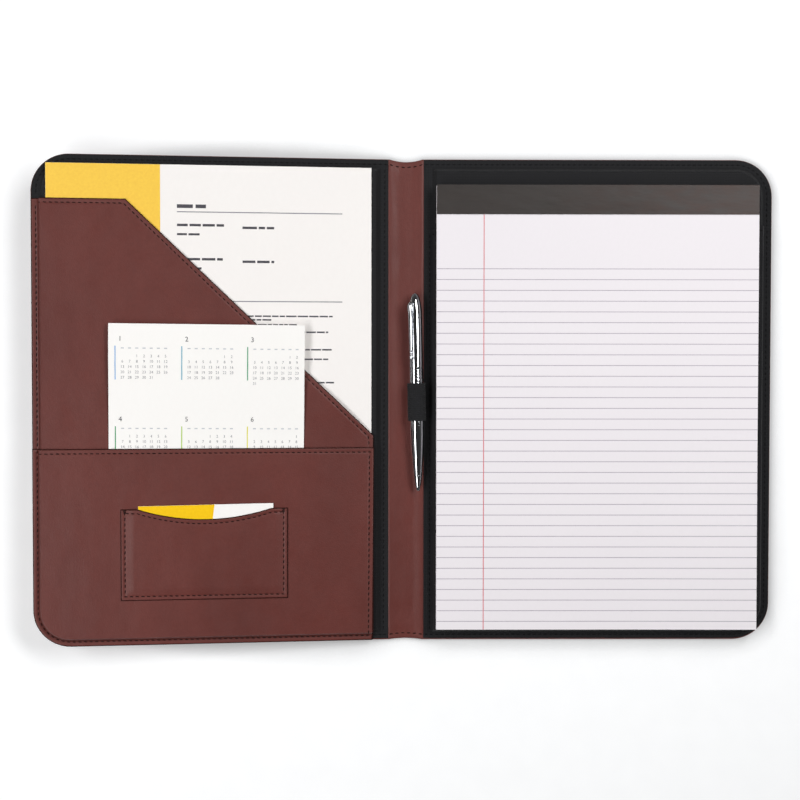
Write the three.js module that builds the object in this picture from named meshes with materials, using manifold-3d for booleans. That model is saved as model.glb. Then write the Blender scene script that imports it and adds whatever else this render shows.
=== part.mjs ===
// A letter-size leather portfolio, lying open: a back cover with a writing pad, a spine with a pen in an
// elastic loop, and a front cover with pockets for papers. Millimetres, +Z up, +X towards the outer edge
// of the back cover, +Y towards the top edge. The origin is under the middle of the whole thing.
import * as THREE from "three";
import { mergeVertices } from "three/addons/utils/BufferGeometryUtils.js";
import Module from "manifold-3d";

const wasm = await Module();
wasm.setup();

// The writing pad, and the bands of lining that the back cover leaves bare round it.
const PAD_WIDTH = 215.9;
const PAD_HEIGHT = 298.45;
const PAD_SPINE_MARGIN = 8.45;
const PAD_OUTER_MARGIN = 11.15;
const PAD_HEAD_MARGIN = 18.45;
const PAD_FOOT_MARGIN = 8.6;
const PAD_BACKING = 0.9;
const BACKING_CORNER = 14;
const PAD_STACK = 5.3;
const PAGE = 0.3;
const HEADER_HEIGHT = 19.3;
const HEADER_TAPE = 0.5;

// Covers and spine, seen from above. The covers are cut to suit the pad, and a cover's width runs from
// the edge of its lining at the spine.
const COVER_WIDTH = PAD_SPINE_MARGIN + PAD_WIDTH + PAD_OUTER_MARGIN;
const COVER_HEIGHT = PAD_FOOT_MARGIN + PAD_HEIGHT + PAD_HEAD_MARGIN;
const COVER_CORNER = 25;
const SPINE_WIDTH = 24;
const SPINE_END_DIP = 1.8;
const CREASE_INSET = 1;
const CREASE_GAP = 0.3;

// How the covers hang on the spine: the height of each fold line, and how far the front cover stands up
// when the portfolio lies open.
const BACK_FOLD_HEIGHT = 5.6;
const FRONT_FOLD_HEIGHT = 2.5;
const OPEN_TILT = 5.86;

// The layers of a cover from the outside in, and the clearance that is left between two layers.
const LAYER_GAP = 0.3;
const HIDE = 1.0;
const HEM = 0.6;
const HEM_REACH = 6.2;
const FOAM = 2.2;
const BOARD = 1.8;
const LINING = 0.5;
const RIM_WALL = 1.2;
const RIM_LIP = 0.2;
const EDGE_ROUND = 1.3;
const BORDER = 5.5;
const BORDER_SLOPE = 3.8;
const FOAM_INSET = 8;
const BOARD_INSET = 10.6;

// The leather pockets of the front cover. Places on a cover are given across it from the lining's edge at
// the spine, and up from the cover's foot.
const POCKET = 0.8;
const POCKET_EDGE = 0.4;
const POCKET_SLOPE = 2.6;
const DOCUMENT_BORDER = 4.6;
const FRONT_BORDER = 4.0;
const DOCUMENT_TOP = 296.25;
const DOCUMENT_SHOULDER = 172.9;
const DOCUMENT_CORNER = { across: 10.6, up: 139.75 };
const FRONT_POCKET_TOP = 131.45;
const FRONT_POCKET_SIDE = 9.5;
const CARD_POCKET_WIDTH = 108;
const CARD_POCKET_CENTRE = 122;
const CARD_POCKET_TOP = 91.25;
const CARD_POCKET_BOTTOM = 30.75;
const CARD_POCKET_SCOOP = 7;
const CARD_POCKET_SHOULDER = 11;
const CARD_POCKET_BORDER = 3.6;
const CARD_POCKET_SLOPE = 2.4;

// The lining panel of the back cover that the pad's cardboard slips behind.
const SLOT_TOP = 279.85;
const SLOT_RISE = 3;
const SLOT_SIDE = 4.2;
const SLOT_BORDER = 5.3;
const SLOT_SLOPE = 2.6;

// Papers: width, height, thickness, place of the top edge and of the middle across the cover.
const LETTER = { width: 215.9, height: 279.4, thickness: 0.3, across: 119.2, top: 319.95 };
const CALENDAR = { width: 128.5, height: 177.8, thickness: 0.3, across: 121, top: 213.75 };
const BUSINESS_CARD = { width: 88.9, height: 50.8, thickness: 0.3, across: 122.1, top: 94.05 };

// The pen and its loop. Heights along the pen are measured from the middle of the cover.
const PEN_ACROSS = 7.1;
const PEN_LEAN = 1.07;
const PEN_RADIUS = 4.8;
const PEN_TOP = 72.9;
const PEN_POINT = -60.9;
const PEN_DOME = 14.9;
const PEN_CROWN_END = 56.3;
const PEN_BAND_END = 22;
const PEN_SPLIT = 12.4;
const PEN_WAIST = -17;
const PEN_CHAMFER = 0.2;
const CROWN_SPIGOT = 6;
const CONE_SPIGOT = 4;
const BAND_PROUD = 0.1;
const GROOVE_DEPTH = 0.45;
const GROOVE_PITCH = 2.1;
const GROOVES_START = 3.2;
const SLEEVE_REACH = 12;
const PEN_CONE = 10.6;
const PEN_CONE_RADIUS = 2.95;
const PEN_NOZZLE_RADIUS = 1.25;
const PEN_WALL = 1.2;
const PEN_FIT = 0.3;
const REFILL_RADIUS = 1.5;
const REFILL_TOP = 30;
const REFILL_NOSE = 0.55;
const REFILL_TRAVEL = 3.5;
const CLIP_ANGLE = 122;
const CLIP_WIDTH = 3.4;
const CLIP_ROOT = 66;
const CLIP_END = 27.6;
const CLIP_RISE = 1.0;
const CLIP_THICKNESS = 0.8;
const LOOP_ELASTIC = 0.7;
const LOOP_FIT = 0.3;
const LOOP_WIDTH = 25.4;
const LOOP_CENTRE = -0.7;
const ROUND_STEPS = 32;
const CORNER_STEPS = 9;

const radians = THREE.MathUtils.degToRad;
const CREASE = SPINE_WIDTH / 2 - CREASE_INSET;
const HALF_HEIGHT = COVER_HEIGHT / 2;
const OUTER_EDGE = SPINE_WIDTH / 2 + COVER_WIDTH;
const FOOT = -HALF_HEIGHT;
const PAD_TOP = FOOT + PAD_FOOT_MARGIN + PAD_HEIGHT;

// Heights of the layers, from the table up.
const HEM_TOP = HIDE + HEM;
const FOAM_Z = HIDE + LAYER_GAP;
const BOARD_Z = FOAM_Z + FOAM + LAYER_GAP;
const LINING_Z = BOARD_Z + BOARD + LAYER_GAP;
const LINING_TOP = LINING_Z + LINING;
const LINING_EDGE_Z = HEM_TOP + LAYER_GAP;
const RIM_TOP = LINING_EDGE_Z + LINING + RIM_LIP;

const LETTER_Z = LINING_TOP + LAYER_GAP;
const DOCUMENT_Z = LETTER_Z + LETTER.thickness + LAYER_GAP;
const DOCUMENT_EDGE_Z = RIM_TOP + LAYER_GAP;
const CALENDAR_Z = DOCUMENT_Z + POCKET + LAYER_GAP;
const FRONT_POCKET_Z = CALENDAR_Z + CALENDAR.thickness + LAYER_GAP;
const FRONT_EDGE_Z = DOCUMENT_EDGE_Z + POCKET + LAYER_GAP;
const CARD_Z = FRONT_POCKET_Z + POCKET + LAYER_GAP;
const CARD_POCKET_Z = CARD_Z + BUSINESS_CARD.thickness + LAYER_GAP;

const BACKING_Z = LINING_TOP + LAYER_GAP;
const SLOT_PANEL_Z = BACKING_Z + PAD_BACKING + LAYER_GAP;
const SLOT_EDGE_Z = LINING_EDGE_Z + LINING + LAYER_GAP;
const PAD_STACK_Z = SLOT_PANEL_Z + LINING + LAYER_GAP;
const PAD_STACK_TOP = PAD_STACK_Z + PAD_STACK;
const PAGE_Z = PAD_STACK_TOP + LAYER_GAP;

const STRIP = 0.6;
const STRIP_Z = HIDE + LAYER_GAP;
const STRIP_SIDE_RISE = 0.5;
const LOOP_BORE = PEN_RADIUS + LOOP_FIT;
const LOOP_OUTER = LOOP_BORE + LOOP_ELASTIC;
const PEN_Z = STRIP_Z + STRIP + LAYER_GAP + LOOP_OUTER;

const COLOURS = {
  hide: { color: 0x6e423c, roughness: 0.5 },
  pocket: { color: 0x6a3b33, roughness: 0.5 },
  lining: { color: 0x2c2c2e, roughness: 0.85 },
  foam: { color: 0xd8d4c8, roughness: 0.95 },
  board: { color: 0x9a8f80, roughness: 0.9 },
  paper: { color: 0xf4f1f2, roughness: 0.85 },
  card: { color: 0xfdfaf4, roughness: 0.7 },
  header: { color: 0x4b4442, roughness: 0.35 },
  elastic: { color: 0x1f1f20, roughness: 0.9 },
  chrome: { color: 0xd8dade, roughness: 0.12, metalness: 1 },
  brass: { color: 0xc29b4a, roughness: 0.35, metalness: 1 },
};

// Geometry helpers

// A closed geometry as a solid that can be joined and cut.
function toSolid(geometry) {
  const bare = new THREE.BufferGeometry();
  bare.setAttribute("position", geometry.getAttribute("position").clone());
  if (geometry.index) {
    bare.setIndex(geometry.index.clone());
  }
  const merged = mergeVertices(bare, 1e-4);
  return new wasm.Manifold(
    new wasm.Mesh({
      numProp: 3,
      vertProperties: Float32Array.from(merged.getAttribute("position").array),
      triVerts: Uint32Array.from(merged.index.array),
    }),
  );
}

function toGeometry(solid) {
  const mesh = solid.getMesh();
  const geometry = new THREE.BufferGeometry();
  const positions = Float32Array.from(mesh.vertProperties);
  geometry.setAttribute("position", new THREE.BufferAttribute(positions, 3));
  geometry.setIndex(new THREE.BufferAttribute(Uint32Array.from(mesh.triVerts), 1));
  geometry.computeVertexNormals();
  return geometry;
}

const keepInside = (geometry, other) => toGeometry(toSolid(geometry).intersect(toSolid(other)));
const cutAway = (geometry, other) => toGeometry(toSolid(geometry).subtract(toSolid(other)));

// A closed skin through rings of equally many points, flat at its first and last ring. Rings run
// anticlockwise seen from above, and the skin leaves the first one on its underside.
function loft(rings) {
  const count = rings[0].length;
  const flatRing = (ring) => ring.map((p) => new THREE.Vector2(p.x, p.y));
  const faces = [];
  for (let k = 0; k < rings.length - 1; k++) {
    for (let i = 0; i < count; i++) {
      const here = k * count + i;
      const next = k * count + ((i + 1) % count);
      faces.push(here, next, next + count, here, next + count, here + count);
    }
  }
  for (const [a, b, c] of THREE.ShapeUtils.triangulateShape(flatRing(rings[0]), [])) {
    faces.push(a, c, b);
  }
  const last = (rings.length - 1) * count;
  for (const [a, b, c] of THREE.ShapeUtils.triangulateShape(flatRing(rings.at(-1)), [])) {
    faces.push(last + a, last + b, last + c);
  }
  const geometry = new THREE.BufferGeometry();
  const positions = rings.flat().flatMap((p) => [p.x, p.y, p.z]);
  geometry.setAttribute("position", new THREE.Float32BufferAttribute(positions, 3));
  geometry.setIndex(faces);
  return geometry;
}

// A prism over an outline in the plane of the cover, from one height to another.
function prism(shape, bottom, top) {
  const options = { depth: top - bottom, bevelEnabled: false, curveSegments: 16 };
  return new THREE.ExtrudeGeometry(shape, options).translate(0, 0, bottom);
}

const polygon = (points) => new THREE.Shape(points.map(([x, y]) => new THREE.Vector2(x, y)));

// A section drawn across the spine (x, z), drawn out along Y about the given middle.
function drawnAlongY(shape, length, middle) {
  const options = { depth: length, bevelEnabled: false, curveSegments: ROUND_STEPS };
  const geometry = new THREE.ExtrudeGeometry(shape, options);
  return geometry.rotateX(Math.PI / 2).translate(0, middle + length / 2, 0);
}

// A body of revolution about Y from (radius, height) points that start and end on the axis or close up.
function turned(points) {
  const profile = points.map(([radius, height]) => new THREE.Vector2(radius, height));
  return new THREE.LatheGeometry(profile, ROUND_STEPS);
}

// A turned tube: outside points from the bottom up, then inside points from the top down.
const turnedTube = (outside, inside) => turned([...outside, ...inside, outside[0]]);

// The same geometry on the other side of the spine.
function mirrored(geometry) {
  const whole = geometry.index ? geometry.toNonIndexed() : geometry.clone();
  const flat = new THREE.BufferGeometry();
  flat.setAttribute("position", whole.getAttribute("position").clone());
  flat.scale(-1, 1, 1);
  const places = flat.getAttribute("position");
  for (let i = 0; i < places.count; i += 3) {
    const second = new THREE.Vector3().fromBufferAttribute(places, i + 1);
    const third = new THREE.Vector3().fromBufferAttribute(places, i + 2);
    places.setXYZ(i + 1, third.x, third.y, third.z);
    places.setXYZ(i + 2, second.x, second.y, second.z);
  }
  return flat;
}

function piece(name, geometry, look) {
  const mesh = new THREE.Mesh(geometry, new THREE.MeshStandardMaterial(look));
  mesh.name = name;
  return mesh;
}

// Outlines of a cover

// The cover's outline drawn in by an inset, square at the spine and round at the two outer corners.
// start is the outline's edge at the spine before the inset.
function coverRing(inset, z, start = SPINE_WIDTH / 2, startInset = inset) {
  const low = start + startInset;
  const high = OUTER_EDGE - inset;
  const half = HALF_HEIGHT - inset;
  const radius = Math.max(COVER_CORNER - inset, 1);
  const ring = [new THREE.Vector3(low, -half, z)];
  for (const [turn, side] of [[-90, -1], [0, 1]]) {
    for (let i = 0; i <= CORNER_STEPS; i++) {
      const angle = radians(turn + (90 * i) / CORNER_STEPS);
      const x = high - radius + radius * Math.cos(angle);
      const y = side * (half - radius) + radius * Math.sin(angle);
      ring.push(new THREE.Vector3(x, y, z));
    }
  }
  ring.push(new THREE.Vector3(low, half, z));
  return ring;
}

// A plate with the cover's outline and slightly rounded edges.
function coverPlate(inset, bottom, thickness) {
  const ease = Math.min(0.5, thickness / 3);
  return loft([
    coverRing(inset + ease, bottom),
    coverRing(inset, bottom + ease),
    coverRing(inset, bottom + thickness - ease),
    coverRing(inset + ease, bottom + thickness),
  ]);
}

// A sheet that lies low along the cover's seam and rises to its level past the border.
function formedSheet({ edge, spineEdge, edgeZ, border, slope, levelZ, thickness }) {
  const steps = 4;
  const rise = (under) => {
    const rings = [];
    for (let i = 0; i <= steps; i++) {
      const share = i / steps;
      const eased = share * share * (3 - 2 * share);
      const z = edgeZ + (levelZ - edgeZ) * eased + (under ? 0 : thickness);
      rings.push(coverRing(border + slope * share + (under ? LAYER_GAP : 0), z));
    }
    return rings;
  };
  const edgeRing = (z) => coverRing(edge, z, SPINE_WIDTH / 2, spineEdge);
  return loft([...rise(true).reverse(), edgeRing(edgeZ), edgeRing(edgeZ + thickness), ...rise(false)]);
}

// Cover bodies, the same for both covers

// The outer leather: a shallow tray whose rim turns up round the edge, with a hem glued down inside.
function outerLeather() {
  const start = CREASE + CREASE_GAP / 2 - RIM_WALL - CREASE_GAP;
  const ring = (inset, z) => coverRing(inset, z, start);
  const tray = loft([
    ring(EDGE_ROUND, 0),
    ring(EDGE_ROUND * 0.3, HIDE * 0.3),
    ring(0, HIDE),
    ring(0, RIM_TOP - RIM_WALL * 0.4),
    ring(RIM_WALL * 0.25, RIM_TOP),
    ring(RIM_WALL * 0.75, RIM_TOP),
    ring(RIM_WALL, RIM_TOP - RIM_WALL * 0.4),
    ring(RIM_WALL, HEM_TOP),
    ring(HEM_REACH, HEM_TOP),
    ring(HEM_REACH + HEM, HIDE),
  ]);
  const crease = CREASE + CREASE_GAP / 2;
  const beyond = polygon([
    [-crease, -COVER_HEIGHT],
    [crease, -COVER_HEIGHT],
    [crease, COVER_HEIGHT],
    [-crease, COVER_HEIGHT],
  ]);
  return cutAway(tray, prism(beyond, -RIM_TOP, 2 * RIM_TOP));
}

const foamPad = () => coverPlate(FOAM_INSET, FOAM_Z, FOAM);
const stiffBoard = () => coverPlate(BOARD_INSET, BOARD_Z, BOARD);

function liningCloth() {
  return formedSheet({
    edge: RIM_WALL + LAYER_GAP,
    spineEdge: 0,
    edgeZ: LINING_EDGE_Z,
    border: BORDER,
    slope: BORDER_SLOPE,
    levelZ: LINING_Z,
    thickness: LINING,
  });
}

// The leather pockets, on the front cover

const pocketLeft = SPINE_WIDTH / 2;
const beyondCover = OUTER_EDGE + COVER_CORNER;

// The tall pocket for papers, cut off slantwise so that a sheet shows above it.
function documentPocket() {
  const sheet = formedSheet({
    edge: POCKET_EDGE,
    spineEdge: POCKET_EDGE,
    edgeZ: DOCUMENT_EDGE_Z,
    border: DOCUMENT_BORDER,
    slope: POCKET_SLOPE,
    levelZ: DOCUMENT_Z,
    thickness: POCKET,
  });
  const outline = polygon([
    [pocketLeft + DOCUMENT_CORNER.across, -COVER_HEIGHT],
    [beyondCover, -COVER_HEIGHT],
    [beyondCover, FOOT + DOCUMENT_TOP],
    [pocketLeft + DOCUMENT_SHOULDER, FOOT + DOCUMENT_TOP],
    [pocketLeft + DOCUMENT_CORNER.across, FOOT + DOCUMENT_CORNER.up],
  ]);
  return keepInside(sheet, prism(outline, 0, DOCUMENT_Z + COVER_CORNER));
}

// The low pocket across the foot of the cover.
function frontPocket() {
  const sheet = formedSheet({
    edge: POCKET_EDGE,
    spineEdge: POCKET_EDGE,
    edgeZ: FRONT_EDGE_Z,
    border: FRONT_BORDER,
    slope: POCKET_SLOPE,
    levelZ: FRONT_POCKET_Z,
    thickness: POCKET,
  });
  const outline = polygon([
    [pocketLeft + FRONT_POCKET_SIDE, -COVER_HEIGHT],
    [beyondCover, -COVER_HEIGHT],
    [beyondCover, FOOT + FRONT_POCKET_TOP],
    [pocketLeft + FRONT_POCKET_SIDE, FOOT + FRONT_POCKET_TOP],
  ]);
  return keepInside(sheet, prism(outline, 0, FRONT_POCKET_Z + COVER_CORNER));
}

// The business-card pocket: sewn down along three sides, with a scooped mouth between two shoulders.
function cardPocket() {
  const centre = pocketLeft + CARD_POCKET_CENTRE;
  const half = CARD_POCKET_WIDTH / 2;
  const top = FOOT + CARD_POCKET_TOP;
  const bottom = FOOT + CARD_POCKET_BOTTOM;
  const mouth = top + CARD_POCKET_BORDER + CARD_POCKET_SLOPE + 1;
  const ring = (inset, z) => [
    new THREE.Vector3(centre - half + inset, bottom + inset, z),
    new THREE.Vector3(centre + half - inset, bottom + inset, z),
    new THREE.Vector3(centre + half - inset, mouth - inset, z),
    new THREE.Vector3(centre - half + inset, mouth - inset, z),
  ];
  const raised = CARD_POCKET_BORDER + CARD_POCKET_SLOPE;
  const sheet = loft([
    ring(raised + LAYER_GAP, CARD_POCKET_Z),
    ring(CARD_POCKET_BORDER + LAYER_GAP, CARD_Z),
    ring(0, CARD_Z),
    ring(0, CARD_Z + POCKET),
    ring(CARD_POCKET_BORDER, CARD_Z + POCKET),
    ring(raised, CARD_POCKET_Z + POCKET),
  ]);
  const outline = polygon([
    [centre - half, bottom],
    [centre + half, bottom],
    [centre + half, top],
    [centre + half - CARD_POCKET_SHOULDER, top],
  ]);
  const low = top - 2 * CARD_POCKET_SCOOP;
  outline.quadraticCurveTo(centre, low, centre - half + CARD_POCKET_SHOULDER, top);
  outline.lineTo(centre - half, top);
  return keepInside(sheet, prism(outline, CARD_Z - 1, CARD_POCKET_Z + 2 * POCKET));
}

// A paper lying flat on the cover at a height.
function paper({ width, height, thickness, across, top }, bottom) {
  const sheet = new THREE.BoxGeometry(width, height, thickness);
  return sheet.translate(pocketLeft + across, FOOT + top - height / 2, bottom + thickness / 2);
}

// The back cover's slot panel and the writing pad

function slotPanel() {
  const sheet = formedSheet({
    edge: RIM_WALL + LAYER_GAP,
    spineEdge: SLOT_SIDE,
    edgeZ: SLOT_EDGE_Z,
    border: SLOT_BORDER,
    slope: SLOT_SLOPE,
    levelZ: SLOT_PANEL_Z,
    thickness: LINING,
  });
  const outline = polygon([
    [SPINE_WIDTH / 2, -COVER_HEIGHT],
    [OUTER_EDGE, -COVER_HEIGHT],
    [OUTER_EDGE, FOOT + SLOT_TOP + SLOT_RISE / 2],
    [SPINE_WIDTH / 2, FOOT + SLOT_TOP - SLOT_RISE / 2],
  ]);
  return keepInside(sheet, prism(outline, 0, SLOT_PANEL_Z + COVER_CORNER));
}

const padX = SPINE_WIDTH / 2 + PAD_SPINE_MARGIN + PAD_WIDTH / 2;

function padBlock(bottom, thickness, top, height) {
  const block = new THREE.BoxGeometry(PAD_WIDTH, height, thickness);
  return block.translate(padX, top - height / 2, bottom + thickness / 2);
}

// The pad's cardboard. Its lower corners are rounded, to slip down into the slot's corners.
function padBacking() {
  const left = padX - PAD_WIDTH / 2;
  const right = padX + PAD_WIDTH / 2;
  const low = PAD_TOP - PAD_HEIGHT;
  const corner = BACKING_CORNER;
  const board = new THREE.Shape();
  board.moveTo(left + corner, low);
  board.lineTo(right - corner, low);
  board.absarc(right - corner, low + corner, corner, -Math.PI / 2, 0, false);
  board.lineTo(right, PAD_TOP);
  board.lineTo(left, PAD_TOP);
  board.lineTo(left, low + corner);
  board.absarc(left + corner, low + corner, corner, Math.PI, 1.5 * Math.PI, false);
  return prism(board, BACKING_Z, BACKING_Z + PAD_BACKING);
}

// The strip bound over the head of the pad, from the top sheet down to the cardboard.
function headerTape() {
  const back = PAD_TOP + HEADER_TAPE;
  const top = PAD_STACK_TOP + HEADER_TAPE;
  const section = new THREE.Shape();
  section.moveTo(PAD_TOP - HEADER_HEIGHT, PAD_STACK_TOP);
  section.lineTo(PAD_TOP, PAD_STACK_TOP);
  section.lineTo(PAD_TOP, BACKING_Z);
  section.lineTo(back, BACKING_Z);
  section.lineTo(back, PAD_STACK_TOP);
  section.absarc(PAD_TOP, PAD_STACK_TOP, HEADER_TAPE, 0, Math.PI / 2, false);
  section.lineTo(PAD_TOP - HEADER_HEIGHT, top);
  const options = { depth: PAD_WIDTH, bevelEnabled: false, curveSegments: 5 };
  const strip = new THREE.ExtrudeGeometry(section, options);
  // (y, z, x) as drawn, turned to lie along X
  const toX = new THREE.Matrix4().makeBasis(
    new THREE.Vector3(0, 1, 0),
    new THREE.Vector3(0, 0, 1),
    new THREE.Vector3(1, 0, 0),
  );
  return strip.applyMatrix4(toX).translate(padX - PAD_WIDTH / 2, 0, 0);
}

// Spine

// The spine's outline: straight along the creases, drawn in a little at its two ends.
function spineOutline() {
  const half = CREASE - CREASE_GAP / 2;
  const shape = new THREE.Shape();
  shape.moveTo(-half, -HALF_HEIGHT);
  shape.quadraticCurveTo(0, -HALF_HEIGHT + 2 * SPINE_END_DIP, half, -HALF_HEIGHT);
  shape.lineTo(half, HALF_HEIGHT);
  shape.quadraticCurveTo(0, HALF_HEIGHT - 2 * SPINE_END_DIP, -half, HALF_HEIGHT);
  return shape;
}

const spineLeather = () => prism(spineOutline(), 0, HIDE);

// The inner strip: flat along its middle, rising to the linings at both sides.
function spineStrip() {
  const half = CREASE - CREASE_GAP / 2;
  const steps = 12;
  const lift = (x) => STRIP_SIDE_RISE * Math.abs(x / half) ** 5;
  const at = (i) => half * Math.sin(radians(-90 + (180 * i) / steps));
  const under = [];
  const over = [];
  for (let i = 0; i <= steps; i++) {
    under.push([at(i), STRIP_Z + lift(at(i))]);
    over.unshift([at(i), STRIP_Z + STRIP + lift(at(i))]);
  }
  const valley = drawnAlongY(polygon([...under, ...over]), COVER_HEIGHT + 2, 0);
  return keepInside(valley, prism(spineOutline(), 0, STRIP_Z + STRIP + 2 * STRIP_SIDE_RISE));
}

// Pen, in its own frame: its axis is Y, and x and z are measured from it

// The elastic: a band round the barrel whose two ends meet at the seam beside the pad.
function penLoop() {
  const seam = CREASE - CREASE_GAP - PEN_ACROSS - LOOP_WIDTH * Math.sin(radians(PEN_LEAN)) * 0.5;
  const join = -Math.acos(seam / LOOP_OUTER);
  const under = radians(-96);
  const band = new THREE.Shape();
  band.moveTo(LOOP_OUTER * Math.cos(under), LOOP_OUTER * Math.sin(under));
  band.lineTo(seam, -LOOP_OUTER + LOOP_ELASTIC / 2);
  band.absarc(0, 0, LOOP_OUTER, join, 2 * Math.PI + under, false);
  const bore = new THREE.Path();
  bore.absarc(0, 0, LOOP_BORE, 0, 2 * Math.PI, true);
  band.holes.push(bore);
  return drawnAlongY(band, LOOP_WIDTH, LOOP_CENTRE);
}

const crownBody = PEN_TOP - PEN_DOME;
const boreRadius = PEN_RADIUS - PEN_WALL;
const spigotRadius = boreRadius - PEN_FIT;

function penUpperBarrel() {
  const low = PEN_BAND_END + PEN_FIT;
  const high = PEN_CROWN_END - PEN_FIT;
  return turnedTube(
    [
      [PEN_RADIUS - PEN_CHAMFER, low],
      [PEN_RADIUS - PEN_CHAMFER / 4, low + PEN_CHAMFER * 2.5],
      [PEN_RADIUS, (low + high) / 2],
      [PEN_RADIUS, high],
    ],
    [
      [boreRadius, high],
      [boreRadius, low],
    ],
  );
}

// The domed crown, with a spigot into the barrel and a slot for the clip's root.
function penCrown() {
  const dome = [];
  const steps = 9;
  for (let i = 1; i < steps; i++) {
    const angle = radians((90 * i) / steps);
    dome.push([PEN_RADIUS * Math.cos(angle), crownBody + PEN_DOME * Math.sin(angle)]);
  }
  const body = turned([
    [0, PEN_CROWN_END - CROWN_SPIGOT],
    [spigotRadius, PEN_CROWN_END - CROWN_SPIGOT],
    [spigotRadius, PEN_CROWN_END],
    [PEN_RADIUS, PEN_CROWN_END],
    [PEN_RADIUS, crownBody],
    ...dome,
    [0, PEN_TOP],
  ]);
  const slotLow = CLIP_ROOT - 2 * CLIP_THICKNESS - PEN_FIT;
  const slotHigh = CLIP_ROOT + PEN_FIT;
  const slot = new THREE.BoxGeometry(PEN_RADIUS, slotHigh - slotLow, CLIP_WIDTH + 2 * PEN_FIT);
  slot.translate(boreRadius - 0.4 + PEN_RADIUS / 2, (slotLow + slotHigh) / 2, 0);
  return cutAway(body, slot.rotateY(-radians(CLIP_ANGLE)));
}

// The grooved band between the two halves, on the upper one.
function penBand() {
  const proud = PEN_RADIUS + BAND_PROUD;
  const groove = proud - GROOVE_DEPTH;
  const low = PEN_SPLIT + PEN_FIT;
  const grooves = [];
  for (let i = 0; i < 3; i++) {
    const y = low + GROOVES_START + GROOVE_PITCH * i;
    grooves.push([proud, y], [groove, y + 0.25], [groove, y + 0.75], [proud, y + 1]);
  }
  return turnedTube(
    [
      [proud - PEN_CHAMFER, low],
      [proud, low + 0.3],
      ...grooves,
      [proud, PEN_BAND_END - 0.3],
      [proud - PEN_CHAMFER, PEN_BAND_END],
    ],
    [
      [boreRadius, PEN_BAND_END],
      [boreRadius, low],
    ],
  );
}

// The lower half, which turns: it narrows in a long curve to the cone.
function penLowerBarrel() {
  const end = PEN_POINT + PEN_CONE;
  const full = PEN_RADIUS - PEN_CHAMFER / 4;
  const inside = PEN_CONE_RADIUS - 0.5;
  const outside = [];
  const steps = 6;
  for (let i = 0; i <= steps; i++) {
    const share = i / steps;
    const swell = Math.sin((Math.PI / 2) * share);
    const radius = PEN_CONE_RADIUS + (full - PEN_CONE_RADIUS) * swell;
    outside.push([radius, end + (PEN_WAIST - end) * share]);
  }
  return turnedTube(
    [...outside, [full, PEN_SPLIT - 2 * PEN_CHAMFER], [PEN_RADIUS - PEN_CHAMFER, PEN_SPLIT]],
    [
      [boreRadius, PEN_SPLIT],
      [boreRadius, PEN_WAIST + SLEEVE_REACH],
      [inside, PEN_WAIST],
      [inside, end],
    ],
  );
}

// The cone at the point, screwed into the lower half, with the hole that the refill comes out of.
function penCone() {
  const shoulder = PEN_POINT + PEN_CONE - PEN_FIT;
  const spigot = PEN_CONE_RADIUS - 0.5 - PEN_FIT;
  const bore = REFILL_RADIUS + PEN_FIT;
  return turnedTube(
    [
      [PEN_NOZZLE_RADIUS, PEN_POINT],
      [PEN_CONE_RADIUS, shoulder],
      [spigot, shoulder],
      [spigot, shoulder + CONE_SPIGOT],
    ],
    [
      [bore, shoulder + CONE_SPIGOT],
      [bore, shoulder - 1],
      [REFILL_NOSE + 0.2, PEN_POINT + 3.5],
      [REFILL_NOSE + 0.2, PEN_POINT],
    ],
  );
}

// The twist mechanism: a sleeve fixed in the upper half that reaches into the lower one.
function penMechanism() {
  const sleeve = REFILL_RADIUS + PEN_FIT;
  const low = PEN_SPLIT - SLEEVE_REACH;
  const high = REFILL_TOP + 8;
  return turned([
    [sleeve, low],
    [spigotRadius - 0.2, low],
    [spigotRadius - 0.2, PEN_SPLIT],
    [spigotRadius, PEN_SPLIT],
    [spigotRadius, high - 1],
    [spigotRadius - 1, high],
    [0, high],
    [0, REFILL_TOP + PEN_FIT],
    [sleeve, REFILL_TOP + PEN_FIT],
    [sleeve, low],
  ]);
}

function penRefill() {
  const tip = PEN_POINT + REFILL_TRAVEL * 0.4;
  return turned([
    [0, tip],
    [REFILL_NOSE * 0.5, tip],
    [REFILL_NOSE, tip + 1],
    [REFILL_NOSE, tip + 7.5],
    [REFILL_RADIUS, tip + 11],
    [REFILL_RADIUS, REFILL_TOP],
    [0, REFILL_TOP],
  ]);
}

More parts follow.
